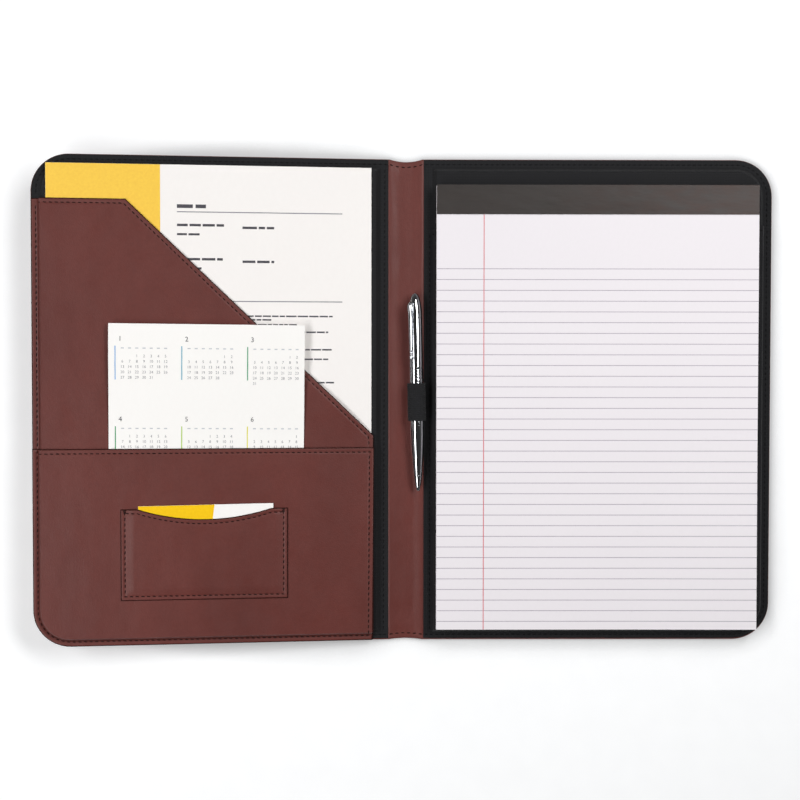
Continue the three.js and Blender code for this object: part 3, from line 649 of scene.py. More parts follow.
SOFT_CUTS = (1.5, 4, 5.5, 7, 8.3, 9.6, 10.3, 11, 11.7, 12.4, 13.7, 15, 16, 18)
HIDE_OVER = [(0, 1.5), (0.1, 1.72), (0.3, 1.86), (0.6, 1.9), (1.4, 1.84), (6.4, 1.6), (6.8, 1.0)]
HIDE_UNDER = [
    (0, 1.42), (0.2, 1.1), (0.7, 0.86), (1.6, 0.78), (2.7, 0.84), (3.6, 1.12), (4.5, 0.76), (6, 0.42),
    (8, 0.15), (10.5, 0.03), (14, 0),
]


def hide_half():
    """Half of the outer hide, from the middle of the spine out: a turned and sewn edge round a cover that
    is padded, with a pressed line where it folds."""
    bm = bmesh.new()
    half, far = HALF_HEIGHT, OUTER_EDGE
    face = outline(bm, [(-40, -half, 0), (far, -half, CORNER), (far, half, CORNER), (-40, half, 0)])
    give_depth(bm, face, HIDE_OVER, HIDE_UNDER)
    clear_before(bm, 0)
    cut_at(bm, SOFT_CUTS, 0)
    cut_at(bm, [y * 27 for y in range(-5, 6)], 1)
    line_width, line_depth, sag = 1.5, 0.5, 0.35
    for vert in bm.verts:
        beside = abs(vert.co.x - CREASE)
        if vert.co.z < 1.2 and beside < line_width:
            vert.co.z += line_depth * (1 - beside / line_width)
        if vert.co.x < CREASE and vert.co.z > 1.3:
            vert.co.z -= sag * (1 - vert.co.x / CREASE)
    pinch(bm)
    return bm


STRIP_WIDTH, STRIP_END, STRIP_THICKNESS = 16, HALF_HEIGHT - 1.3, 0.5


def strip_height(x, y):
    """The top of the spine's inner strip: a valley whose sides rise and then dive under the linings."""
    rise = 0.6 * ease((x - 4) / 6.4)
    dive = 1.35 * ease((x - 11.2) / 2.4)
    wave = 0.10 * noise.noise(Vector((x / 7, y / 30, 3.1)))
    wave += 0.05 * noise.noise(Vector((x / 3, y / 9, 7.7)))
    seam = 0.3 * math.exp(-(((abs(y) - (HALF_HEIGHT - SEAM_INSET)) / 1.1) ** 2))
    puckers = 0.12 * math.exp(-(((abs(y) - (HALF_HEIGHT - 9)) / 7) ** 2))
    puckers *= noise.noise(Vector((x / 2.2, y / 5, 1.3)))
    return 1.9 + rise - dive + (wave + puckers) * (1 - ease((x - 10) / 2)) - seam


def strip_half():
    """Half of the brown strip that shows along the spine between the two linings."""
    bm = bmesh.new()
    leaf(bm, (0, -STRIP_END), (STRIP_WIDTH, STRIP_END), 0, STRIP_THICKNESS, 22, 120)
    for vert in bm.verts:
        upper = vert.co.z > STRIP_THICKNESS / 2
        vert.co.z = strip_height(vert.co.x, vert.co.y) - (0 if upper else STRIP_THICKNESS)
    pinch(bm)
    return bm


def spine_end_line(side):
    """The seam across one end of the spine, on the +X half."""
    y = side * (HALF_HEIGHT - SEAM_INSET)
    return [Vector((x, y * pinched(x, y))) for x in range(0, 13)]


def make_hide():
    """The outer hide and the strip along the spine, each in two halves: the back half lies flat, and the
    front half is bent up beside its own crease.
    """
    look = finishes()
    for cover, front in (("back", False), ("front", True)):
        hide, strip = hide_half(), strip_half()
        hide_tree, strip_tree = BVHTree.FromBMesh(hide), BVHTree.FromBMesh(strip)
        outer, ends = bmesh.new(), bmesh.new()
        line = [Vector((p.x, p.y * pinched(p.x, p.y))) for p in seam_round(SEAM_INSET, 0)]
        low, high = line[0], line[-1]
        line = spine_end_line(-1)[:-1] + line[1:-1] + spine_end_line(1)[-2::-1]
        line[0], line[-1] = low, high
        sew(outer, line, [hide_tree], side=-1)
        for side in (-1, 1):
            sew(ends, spine_end_line(side), [strip_tree])
        for bm in (hide, strip, outer, ends):
            on_front(bm, gradual=True) if front else on_back(bm)
        node = [f"{cover}_outer_leather"] + ([] if front else ["spine_outer_leather"])
        hide = make_piece(f"{cover}_hide", hide, look["leather"], replaces=node, slot="outer_leather")
        strip_nodes = [] if front else ["spine_inner_strip"]
        strip = make_piece(
            f"{cover}_spine_strip", strip, look["leather"], replaces=strip_nodes, slot="outer_leather"
        )
        outer = make_piece(f"{cover}_hide_stitches", outer, look["thread"], weighted=False)
        ends = make_piece(f"{cover}_spine_stitches", ends, look["thread"], weighted=False)
        for piece in (hide, strip, outer, ends):
            across_fold(piece)


PADDING_INSET = 8
PADDING_OVER = [(0, 2.7), (0.5, 3.2), (1.5, 3.45), (4, 3.5)]
PADDING_UNDER = [(0, 2.1), (0.5, 1.6), (1.5, 1.3)]


def make_padding():
    """The padding under the hide, and the boards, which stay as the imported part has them."""
    look = finishes()
    for cover, front in (("back", False), ("front", True)):
        bm = bmesh.new()
        near, far = LINING_START + PADDING_INSET, OUTER_EDGE - PADDING_INSET
        high, radius = HALF_HEIGHT - PADDING_INSET, CORNER - PADDING_INSET
        face = outline(bm, [(near, -high, 0), (far, -high, radius), (far, high, radius), (near, high, 0)])
        give_depth(bm, face, PADDING_OVER, PADDING_UNDER)
        on_front(bm) if front else on_back(bm)
        piece = make_piece(
            f"{cover}_padding", bm, look["foam"], f"{cover}_cover", [f"{cover}_foam"], "foam"
        )
        dress_node(f"{cover}_board", "board")


# Linings and pockets


def rings(edge, border, slope):
    """Distances from a sheet's own edge at which the edges of its cover start, bend and stop falling."""
    return [border - edge + slope * step / 5 for step in range(6)]


def paint_edge(bm, rim):
    """Gives the cut edge of a leather sheet its dark edge paint, which shows as a fine line. The line is
    laid a little wide, so that it is partly edge paint and partly painted shade along the edge.
    """
    cut = [vert for vert in bm.verts if abs(vert.co.z - rim) < 0.001]
    outer = {face for vert in cut for face in vert.link_faces}
    for face in outer | {near for face in outer for vert in face.verts for near in vert.link_faces}:
        face.material_index = 1


def sheet_mesh(corners, form, edge, thickness, bead, groove, painted=False):
    """A sewn sheet over a cover: its outline, rounded edge, bead, stitch groove and lowered borders.
    Returns the mesh and its flat area."""
    bm = bmesh.new()
    face = outline(bm, corners)
    area = face.calc_area() * MM**2
    top, middle = thickness, thickness / 2
    over = [
        (0, middle + thickness * 0.12),
        (thickness * 0.25, top - thickness * 0.14),
        (thickness * 0.75, top),
        (1.15, top + bead),
        (groove - 1.0, top + bead * 0.5),
        (groove - 0.35, top - bead),
        (groove + 0.35, top - bead),
        (groove + 1.0, top + bead * 0.4),
    ]
    falls = [inset for inset in rings(edge, form["border"], form["slope"]) if inset > groove + 1.2]
    over += [(inset, top + bead * 0.4) for inset in falls]
    under = [(0, middle - thickness * 0.12), (thickness * 0.18, thickness * 0.14), (thickness * 0.45, 0)]
    under += [(inset, 0) for inset in (1.5, 3.0)] + [(inset, 0) for inset in falls]
    give_depth(bm, face, over, under)
    # The dark line along the cut edge is partly edge paint and partly painted shade.
    if painted:
        paint_edge(bm, over[0][1])
    for inset in rings(0, form["border"], form["slope"]):
        cut_at(bm, [LINING_START + inset, OUTER_EDGE - inset], 0)
        cut_at(bm, [HALF_HEIGHT - inset, inset - HALF_HEIGHT], 1)
    lower_edges(bm, **form)
    return bm, area


LINING_INSET = {"head": 0.4, "outer": 0.45, "foot": 0.85}
SEAM_END = 157


def lining_mesh():
    """The lining of a cover and its flat area: it reaches nearly to the cover's edge, and leaves a thin
    brown line at its foot."""
    top, foot = HALF_HEIGHT - LINING_INSET["head"], LINING_INSET["foot"] - HALF_HEIGHT
    right = OUTER_EDGE - LINING_INSET["outer"]
    corners = [(LINING_START, foot, 0), (right, foot, CORNER - 0.7)]
    corners += [(right, top, CORNER - 0.5), (LINING_START, top, 0)]
    return sheet_mesh(corners, LINING, edge=0.6, thickness=0.5, bead=0.05, groove=2.9)


def make_linings():
    """The black lining of each cover, and the slot panel that holds the pad's cardboard."""
    look = finishes()
    cloth = (look["lining"], "lining")
    tall = 2 * HALF_HEIGHT - (LINING_INSET["head"] + LINING_INSET["foot"])
    cut = (OUTER_EDGE - LINING_INSET["outer"] - LINING_START, tall)
    back, area = lining_mesh()
    foot, far = 1.1 - HALF_HEIGHT, OUTER_EDGE - PANEL_INSET
    corners = [(PANEL_START, foot, 0), (far, foot, CORNER - 0.9), (far, PANEL_HEAD, 0)]
    corners.append((PANEL_START, PANEL_HEAD_AT_SPINE, 0))
    panel, panel_area = sheet_mesh(
        corners, SLOT_PANEL, edge=PANEL_INSET, thickness=0.5, bead=0.05, groove=2.2
    )
    surfaces = [BVHTree.FromBMesh(back), BVHTree.FromBMesh(panel)]
    thread = bmesh.new()
    sew(thread, seam_round(SEAM_INSET), surfaces)
    sew(thread, [(PANEL_START + 2.2, 113), (PANEL_START + 2.2, -SEAM_END)], surfaces[1:])
    sew(thread, [(PANEL_START + 3, 112.4), (241, 115.1)], surfaces[1:])
    for bm in (back, panel, thread):
        on_back(bm)
    panel_cut = (far - PANEL_START, PANEL_HEAD - foot)
    pieces = {
        "back_lining_cloth": (back, area, cut, "back_lining", ["back_board"]),
        "pad_slot_cloth": (panel, panel_area, panel_cut, "pad_slot_panel", ["back_lining_cloth"]),
    }
    declare_sheets(pieces, cloth, "back_cover")
    make_piece("back_lining_stitches", thread, look["black_thread"], body="back_cover", weighted=False)

    front, area = lining_mesh()
    surfaces = [BVHTree.FromBMesh(front)]
    thread = bmesh.new()
    # On this side the pocket is sewn over the lining below the shoulder of its mouth.
    above = [point for point in seam_round(SEAM_INSET) if point.y > 0]
    sew(thread, [Vector((OUTER_EDGE - SEAM_INSET, 136.5))] + above, surfaces)
    sew(thread, [(14.4, SEAM_END), (15.4, -SEAM_END)], surfaces)
    low = SEAM_INSET - HALF_HEIGHT
    sew(thread, [(LINING_START + 1, low), (MOUTH_FOOT.x, low)], surfaces)
    for bm in (front, thread):
        on_front(bm)
    pieces = {"front_lining_cloth": (front, area, cut, "front_lining", ["front_board"])}
    declare_sheets(pieces, cloth, "front_cover")
    make_piece("front_lining_stitches", thread, look["black_thread"], body="front_cover", weighted=False)


def declare_sheets(pieces, finish, body):
    material, slot = finish
    for name, (bm, area, flat, node, rests_on) in pieces.items():
        piece = make_piece(name, bm, material, body=body, replaces=[node], slot=slot)
        [side * MM for side in flat]
        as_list(rests_on)


def scooped(bm, face):
    """Bends the mouth of the card pocket down between its two shoulders."""
    mouth = max(face.edges, key=lambda e: (min(v.co.y for v in e.verts), e.calc_length()))
    ends = [vert.co.x for vert in mouth.verts]
    middle, half = sum(ends) / 2, abs(ends[0] - ends[1]) / 2
    made = bmesh.ops.subdivide_edges(bm, edges=[mouth], cuts=17)
    for item in made["geom_inner"]:
        if isinstance(item, bmesh.types.BMVert):
            item.co.y -= SCOOP_DEPTH * (1 - ((item.co.x - middle) / half) ** 2)
    bm.normal_update()
    return bm.faces[:][0]


def card_pocket_mesh():
    """The business-card pocket, sewn flat along three sides and puffed up a little in its middle."""
    pocket = CARD_POCKET
    left, right, bottom, top = (pocket[key] for key in ("left", "right", "bottom", "top"))
    bm = bmesh.new()
    corners = [(left, bottom), (right, bottom), (right, top)]
    corners += [(right - SCOOP_SHOULDER, top), (left + SCOOP_SHOULDER, top), (left, top)]
    face = scooped(bm, outline(bm, [(x, y, 0) for x, y in corners]))
    area = face.calc_area() * MM**2
    over = [
        (0, 0.5), (0.2, 0.7), (0.6, 0.82), (1.1, 0.94), (1.9, 0.88), (2.5, 0.6), (3.1, 0.6), (3.8, 0.84),
        (4.8, 0.88), (6.5, 0.9),
    ]
    give_depth(bm, face, over, [(0, 0.3), (0.15, 0.1), (0.4, 0), (3, 0), (5, 0)])
    # The dark line along the cut edge is partly edge paint and partly painted shade.
    paint_edge(bm, 0.5)
    seam, slope = 3, 6.25
    steps = [seam + slope / 5 * step for step in range(6)]
    cut_at(bm, [left + inset for inset in steps] + [right - inset for inset in steps], 0)
    cut_at(bm, [bottom + inset for inset in steps], 1)
    for vert in bm.verts:
        x, y = vert.co.x, vert.co.y
        share = ease((min(x - left, right - x) - seam) / slope) * ease((y - bottom - seam) / slope)
        vert.co.z += pocket["low"] + (pocket["level"] - pocket["low"]) * share
    return bm, area


def gape(bm):
    """Lets the foot of the document pocket's slanted mouth stand open a little, inwards of the calendar,
    which slides past the rest of the mouth."""
    rise, depth, reach = 1.4, 24, 0.275
    cut_at(bm, [28 + 5 * i for i in range(10)], 0)
    cut_at(bm, [7 * i - 46 for i in range(11)], 1)
    slant = MOUTH_SHOULDER - MOUTH_FOOT
    inwards = Vector((slant.y, -slant.x)).normalized()
    for vert in bm.verts:
        place = vert.co.xy - MOUTH_FOOT
        along = min(max(place.dot(slant) / slant.length_squared / reach, 0), 1)
        vert.co.z += rise * ease(1 - place.dot(inwards) / depth) * math.sin(math.pi * along)


def sew_pockets(document, front, card):
    """The stitches of the three pockets: beside each mouth, down the sides and round the cover's corner."""
    thread = bmesh.new()
    document, front, card = ([BVHTree.FromBMesh(bm)] for bm in (document, front, card))
    side = OUTER_EDGE - SEAM_INSET
    diagonal = (MOUTH_SHOULDER - MOUTH_FOOT).normalized()
    square = Vector((diagonal.y, -diagonal.x)) * MOUTH_SEAM
    head = MOUTH_SHOULDER.y - MOUTH_SEAM
    shoulder = MOUTH_SHOULDER + square
    shoulder += diagonal * ((head - shoulder.y) / diagonal.y)
    foot = MOUTH_FOOT + square + diagonal * 2.4
    sew(thread, [(side - 1, head), shoulder, foot, (25.5, FRONT_MOUTH + 1.1)], document)
    sew(thread, [(side, FRONT_MOUTH + 0.8), (side, head - 1)], document)
    sew(thread, [(side - 1, FRONT_MOUTH - 3.1), (FRONT_START + 1, FRONT_MOUTH - 3.1)], front)
    sew(thread, [(25.5, FRONT_MOUTH - 4.7), (26.1, 1.5 + SEAM_INSET - HALF_HEIGHT)], front)
    around = [point for point in seam_round(SEAM_INSET, 21.5) if point.y < FRONT_MOUTH + 1.3]
    around[0] = Vector((24.5, around[0].y))
    sew(thread, around + [Vector((side, FRONT_MOUTH - 0.5))], front)
    left, right, bottom, top = (CARD_POCKET[key] for key in ("left", "right", "bottom", "top"))
    middle, half = (left + right) / 2, (right - left) / 2 - SCOOP_SHOULDER
    steps = [i / 12 for i in range(-12, 13)]
    mouth = [(middle + half * i, top - 2.9 - SCOOP_DEPTH * (1 - i**2)) for i in steps]
    sew(thread, [(left + 2.6, top - 2.7), *mouth, (right - 2.6, top - 2.7)], card)
    left, right, low = left + 2.8, right - 2.8, bottom + 2.8
    sew(thread, [(left, top - 1), (left, low), (right, low), (right, top - 1)], card)
    for x in (left, right):
        # A bar of three short stitches holds each upper corner.
        for shift in (-1.1, 0, 1.1):
            sew(thread, [(x - 1.6, top - 1.6 + shift * 0.5), (x + 1.9, top - 1.6 + shift)], card)
    return thread


def make_pockets():
    """The three leather pockets of the front cover, with their stitching."""
    look = finishes()
    sewn = {"edge": 0.4, "thickness": 0.8, "bead": 0.14, "groove": 3.1, "painted": True}
    edge = sewn["edge"]
    low, far, radius = edge - HALF_HEIGHT, OUTER_EDGE - edge, CORNER - edge
    outer, near, head = (far, low, radius), MOUTH_FOOT.x, MOUTH_SHOULDER.y
    corners = [(near, low, 0), outer, (far, head, 0), (*MOUTH_SHOULDER, 0), (*MOUTH_FOOT, 0)]
    document, document_area = sheet_mesh(corners, DOCUMENT, **sewn)
    gape(document)
    corners = [(FRONT_START + 0.8, low, 0), outer, (far, FRONT_MOUTH, 0), (FRONT_START, FRONT_MOUTH, 0)]
    front, front_area = sheet_mesh(corners, FRONT, **sewn)
    card, card_area = card_pocket_mesh()
    thread = sew_pockets(document, front, card)
    for bm in (document, front, card, thread):
        on_front(bm)
    cuts = ((far - near, head - low), (far - FRONT_START, FRONT_MOUTH - low))
    card_cut = (CARD_POCKET["right"] - CARD_POCKET["left"], CARD_POCKET["top"] - CARD_POCKET["bottom"])
    pieces = {
        "document_pocket_leather": (
            document, document_area, cuts[0], "document_pocket", ["front_lining_cloth"],
        ),
        "front_pocket_leather": (front, front_area, cuts[1], "front_pocket", ["document_pocket_leather"]),
        "card_pocket_leather": (card, card_area, card_cut, "card_pocket", ["front_pocket_leather"]),
    }
    declare_sheets(pieces, ((look["leather"], look["edge_paint"]), "pocket_leather"), "front_cover")
    make_piece("pocket_stitches", thread, look["thread"], body="front_cover", weighted=False)


# Papers of the front cover, made where they lie on the level cover, with X negative

LETTER = {"left": -237.9, "right": -23.95, "bottom": -122.2, "top": 156.5, "z": 6.62}
CALENDAR = {"left": -198.1, "right": -69.6, "bottom": -126.8, "top": 51.0, "z": 8.5}
VISITING_CARD = {"left": -178.55, "right": -89.65, "bottom": -119.5, "top": -68.7, "z": 10.08}
PRINT_LIFT = 0.045


def card_turn(card, degrees):
    """Turns a card a little about its middle, as it slipped into its pocket."""
    middle = Vector(((card["left"] + card["right"]) / 2, (card["bottom"] + card["top"]) / 2, 0))
    turn = Matrix.Rotation(math.radians(degrees), 4, "Z")
    return Matrix.Translation(middle) @ turn @ Matrix.Translation(-middle)


def curl(bm, card, lift, reach, side_lift):
    """Lifts the free upper part of a card, and its long edges a little more."""
    middle, half = (card["left"] + card["right"]) / 2, (card["right"] - card["left"]) / 2
    for vert in bm.verts:
        share = ease((vert.co.y - (card["top"] - reach)) / reach)
        edge = ((vert.co.x - middle) / half) ** 2
        vert.co.z += share * (lift + side_lift * edge)


def print_flat(bm, left, bottom, right, top, z):
    """One printed patch, as a face with nothing under it."""
    matrix = Matrix.Translation(((left + right) / 2, (bottom + top) / 2, z))
    matrix = matrix @ Matrix.Diagonal((right - left, top - bottom, 1, 1))
    made = bmesh.ops.create_grid(bm, x_segments=1, y_segments=1, size=0.5, matrix=matrix)
    return made["verts"]


def card_sheet(card, thickness, cuts):
    """The paper of a card, and the height at which ink lies on it."""
    bm = bmesh.new()
    leaf(bm, (card["left"], card["bottom"]), (card["right"], card["top"]), card["z"], thickness, *cuts)
    return bm, card["z"] + thickness + PRINT_LIFT


def print_field(bm, card, right, z):
    """A printed field from the left edge of a card to a place across it."""
    left, low, high = card["left"] + 0.05, card["bottom"] + 0.05, card["top"] - 0.05
    return print_flat(bm, left, low, right, high, z)


def number_shapes(count):
    """A flat mesh for each number up to count, one unit high and centred."""
    shapes = []
    for number in range(1, count + 1):
        figure = bpy.data.curves.new("number", "FONT")
        figure.body = str(number)
        figure.align_x, figure.align_y = "CENTER", "CENTER"
        figure.resolution_u = 2
        holder = bpy.data.objects.new("number", figure)
        mesh = bpy.data.meshes.new_from_object(holder)
        shapes.append(mesh)
        bpy.data.objects.remove(holder)
        bpy.data.curves.remove(figure)
    return shapes


def stamp(bm, mesh, matrix, index=0):
    """Adds a copy of a flat shape at a place."""
    verts, faces = len(bm.verts), len(bm.faces)
    bm.from_mesh(mesh)
    bm.verts.ensure_lookup_table()
    bm.faces.ensure_lookup_table()
    bmesh.ops.transform(bm, matrix=matrix, verts=bm.verts[verts:])
    for face in bm.faces[faces:]:
        face.material_index = index


def bar_row(bm, x, y, z, width, height, chance):
    """A printed row of bars of uneven length."""
    end = x + width
    while x < end - 1.5:
        long = min(chance.uniform(3.2, 10.5) * height / 1.5, end - x)
        print_flat(bm, x, y - height / 2, x + long, y + height / 2, z)
        x += long + 0.75 * height


# The small rows of bars on the letter: how far below its second rule each stands, and how long it is
LETTER_ROWS = (
    (9.7, 103), (12.1, 62), (15.4, 79), (20.3, 100), (22.7, 48), (32.0, 104), (34.4, 71), (38.4, 100),
    (54.1, 104), (56.5, 66), (64, 98), (72, 104), (74.4, 40), (88, 101), (96, 92), (108, 103), (116, 96),
)


def make_letter():
    """The letter sheet, printed with a yellow column, two rules and rows of bars."""
    look = finishes()
    card = LETTER
    sheet, z = card_sheet(card, thickness=0.2, cuts=(30, 36))
    printed, yellow = bmesh.new(), bmesh.new()
    column, margin, rule = 73.95, 84.85, 109.5
    print_field(yellow, card, card["left"] + column, z)
    chance = random.Random(11)
    left, top = card["left"] + margin, card["top"] - 27.3
    for foot in (0, 59):
        bar_row(printed, left, top - foot, z, 19, 2.4, chance)
        print_flat(printed, left, top - foot - 4.05, left + rule, top - foot - 3.4, z)
    for start in (12.4, 34.9):
        bar_row(printed, left, top - start, z, 32, 1.6, chance)
        bar_row(printed, left, top - start - 6.1, z, 16, 1.4, chance)
        bar_row(printed, left + 43, top - start - 1.4, z, 21, 1.6, chance)
    for start, width in LETTER_ROWS:
        bar_row(printed, left, top - 62.8 - start, z, width, 1.0, chance)
    for face in printed.faces:
        tall = max(v.co.y for v in face.verts) - min(v.co.y for v in face.verts)
        face.material_index = 1 if tall < 0.7 else 0
    for bm in (sheet, printed, yellow):
        curl(bm, card, lift=0.12, reach=90, side_lift=0.1)
        stand_up(bm)
    make_piece(
        "letter_paper", sheet, look["letter_paper"], "letter", ["letter_sheet"], "letter_paper",
        weighted=False,
    )
    make_piece("letter_print", printed, [look["dark"], look["grey"]], "letter", weighted=False)
    make_piece("letter_yellow_column", yellow, look["yellow"], "letter", weighted=False)


MONTH_BARS = ("7FAEE0", "5BA9C4", "2F9A68", "3B9A60", "A6CC3E", "E4DE3A", "F0B43C", "E8803E", "D9536A")
# The weekday on which each month starts, and its days
MONTHS = ((2, 31), (5, 28), (5, 31), (1, 30), (3, 31), (6, 30), (1, 31), (4, 31), (0, 30))
MONTH_STEP, DAY_STEP, WEEK_STEP = (43.2, 53.0), 4.66, 3.53
MONTH_SIZE, DAY_SIZE = 4.6, 2.6


def make_calendar():
    """The calendar card: a grid of numbers beside a coloured bar for each month."""
    look = finishes()
    card = CALENDAR
    sheet, z = card_sheet(card, thickness=0.25, cuts=(24, 30))
    numbers, bars = bmesh.new(), bmesh.new()
    shapes = number_shapes(31)
    for month, (start, days) in enumerate(MONTHS):
        left = card["left"] + 4.4 + MONTH_STEP[0] * (month % 3)
        top = card["top"] - 10.4 - MONTH_STEP[1] * (month // 3)
        matrix = Matrix.Translation((left + 3.2, top + 0.3, z)) @ Matrix.Scale(MONTH_SIZE, 4)
        stamp(numbers, shapes[month], matrix, 1)
        bar = print_flat(bars, left - 0.33, top - 26.5, left + 0.33, top - 4.3, z)
        for face in bar[0].link_faces:
            face.material_index = month
        for day in range(7):
            x = left + 4.7 + DAY_STEP * day
            weekday = print_flat(numbers, x - 1.0, top - 6.1, x + 1.0, top - 5.4, z)
            for face in weekday[0].link_faces:
                face.material_index = 2
        for day in range(days):
            week, weekday = divmod(day + start, 7)
            x, y = left + 4.7 + DAY_STEP * weekday, top - 11.0 - WEEK_STEP * week
            stamp(numbers, shapes[day], Matrix.Translation((x, y, z)) @ Matrix.Scale(DAY_SIZE, 4))
    for shape in shapes:
        bpy.data.meshes.remove(shape)
    cut_at(bars, [card["top"] - 5.5 * i for i in range(1, 32)], 1)
    for bm in (sheet, numbers, bars):
        curl(bm, card, lift=3.0, reach=90, side_lift=1.3)
        bm.transform(card_turn(card, -0.45))
        stand_up(bm)
    bar_inks = [ink(f"Offset_ink_bar_{i + 1}", srgb(code), 0.45) for i, code in enumerate(MONTH_BARS)]
    make_piece(
        "calendar_paper", sheet, look["card"], "calendar", ["calendar_card"], "card_paper", weighted=False
    )
    inks = [look["grey"], look["dark"], look["pale"]]
    make_piece("calendar_numbers", numbers, inks, "calendar", weighted=False)
    make_piece("calendar_bars", bars, bar_inks, "calendar", weighted=False)


def make_visiting_card():
    """The business card: plain white with a yellow field that ends on a slant."""
    look = finishes()
    card = VISITING_CARD
    sheet, z = card_sheet(card, thickness=0.3, cuts=(20, 12))
    yellow = bmesh.new()
    share, slant = 0.5625, math.radians(8)
    split = card["left"] + share * (card["right"] - card["left"])
    field = print_field(yellow, card, split, z)
    for vert in field:
        if vert.co.x > split - 1 and vert.co.y < 0.5 * (card["bottom"] + card["top"]):
            vert.co.x -= (card["top"] - card["bottom"]) * math.tan(slant)
    cut_at(yellow, [card["left"] + 15 * i for i in range(1, 4)], 0)
    cut_at(yellow, [card["top"] - 6 * i for i in range(1, 6)], 1)
    for bm in (sheet, yellow):
        curl(bm, card, lift=0.35, reach=25, side_lift=0.15)
        bm.transform(card_turn(card, 0.8))
        stand_up(bm)
    make_piece(
        "visiting_card_paper", sheet, look["card"], "visiting_card", ["business_card"], "card_paper",
        weighted=False,
    )
    make_piece("visiting_card_yellow", yellow, look["deep_yellow"], "visiting_card", weighted=False)


# The writing pad

PAD = {"left": 20.45, "right": 236.35, "bottom": -154.15, "top": 144.3}
BLOCK_FOOT, BLOCK_TOP, LAYERS = 8.7, 14.0, 24
PAGE_FOOT, PAGE_TOP, PAGE_THICKNESS = 14.3, 14.44, 0.14
HEADER_FOOT = 125.0
FIRST_RULE, RULES = 88.6, 34
MARGIN_ACROSS, MARGIN_HALF = 31.5, 0.27


def rule_page(z, low, high, lift=None):
    """The printed rules and the margin line of one page."""
    size = sizes()
    bm = bmesh.new()
    left, right = PAD["left"] + 0.1, PAD["right"] - 0.1
    half = size.rule_width / MM / 2
    for row in range(RULES):
        y = FIRST_RULE - row * size.rule_spacing / MM
        print_flat(bm, left, y - half, right, y + half, z)
    across = left + MARGIN_ACROSS
    margin = print_flat(bm, across - MARGIN_HALF, low, across + MARGIN_HALF, high, z + 0.01)
    for face in margin[0].link_faces:
        face.material_index = 1
    if lift:
        cut_at(bm, [PAD["right"] - 12 * i for i in range(1, 8)], 0)
        lift(bm)
    on_back(bm)
    return bm


def lift_page(bm):
    """Curls the loose lower right corner of the top page up."""
    rise, across, up = sizes().page_lift / MM, 90, 150
    for vert in bm.verts:
        share = ease((vert.co.x - PAD["right"] + across) / across)
        share *= ease((PAD["bottom"] + up - vert.co.y) / up)
        vert.co.z += rise * share


def make_pad():
    """The ruled pad: a block of sheets, the top page, its rules and the strip that binds it."""
    look = finishes()
    chance = random.Random(5)
    block = bmesh.new()
    step = (BLOCK_TOP - BLOCK_FOOT) / LAYERS
    for layer in range(LAYERS):
        shift = [chance.uniform(-0.13, 0.13) for _ in range(4)]
        z = BLOCK_FOOT + step * layer
        box_in(
            block,
            (PAD["left"] + shift[0], PAD["bottom"] + shift[1], z),
            (PAD["right"] + shift[2], PAD["top"] - 0.1 + min(shift[3], 0), z + step * 0.86),
        )
    on_back(block)
    make_piece(
        "pad_sheet_block", block, look["pad_paper"], "writing_pad", ["pad_sheets"], "pad_paper",
        weighted=False,
    )
    page = bmesh.new()
    page_head = (PAD["right"], HEADER_FOOT - 0.3)
    leaf(page, (PAD["left"], PAD["bottom"]), page_head, PAGE_FOOT, PAGE_THICKNESS, 30, 40)
    lift_page(page)
    on_back(page)
    make_piece(
        "pad_page", page, look["pad_paper"], "top_page", ["pad_top_page"], "pad_paper", weighted=False
    )
    inks = [look["rules"], look["margin"]]
    under = rule_page(BLOCK_TOP - step * 0.14 + 0.03, PAD["bottom"] + 0.3, HEADER_FOOT)
    make_piece("pad_next_page_rules", under, inks, "writing_pad", weighted=False)
    upper = rule_page(PAGE_TOP + PRINT_LIFT, PAD["bottom"] + 0.1, HEADER_FOOT - 0.4, lift_page)
    make_piece("pad_page_rules", upper, inks, "top_page", weighted=False)
    make_piece(
        "pad_binding_strip", binding_strip(), look["strip"], "writing_pad", ["pad_header_tape"],
        "header_tape",
    )
    dress_node("pad_backing", "board")


def binding_strip():
    """The strip over the head of the pad: along the top page, round the edge and down the back."""
    bm = bmesh.new()
    path = [(HEADER_FOOT, 14.35), (HEADER_FOOT, 14.46), (126, 14.5), (132, 14.52), (138, 14.52)]
    path += [(143.2, 14.5)]
    path += [(144.3 + 0.5 * math.sin(a), 14.0 + 0.5 * math.cos(a)) for a in (0.1, 0.55, 1.0, 1.5)]
    path += [(144.8, 11), (144.8, 8), (144.8, 6.75), (144.42, 6.7), (144.4, 9), (144.38, 13.9)]
    path += [(144.1, 14.12), (140, 14.14), (130, 14.14)]
    section = bm.faces.new([bm.verts.new((PAD["left"], y, z)) for y, z in path])
    steps = 30
    width = (PAD["right"] - PAD["left"]) / steps
    for _ in range(steps):
        section = extruded(bm, [section], bmesh.types.BMFace)[0]
        bmesh.ops.translate(bm, verts=section.verts[:], vec=(width, 0, 0))
    bmesh.ops.recalc_face_normals(bm, faces=bm.faces[:])
    for vert in bm.verts:
        if vert.co.z > 14.2:
            vert.co.z += 0.07 * noise.noise(Vector((vert.co.x / 23, vert.co.y / 7, 2.2)))
    on_back(bm)
    return bm


# The pen and its loop


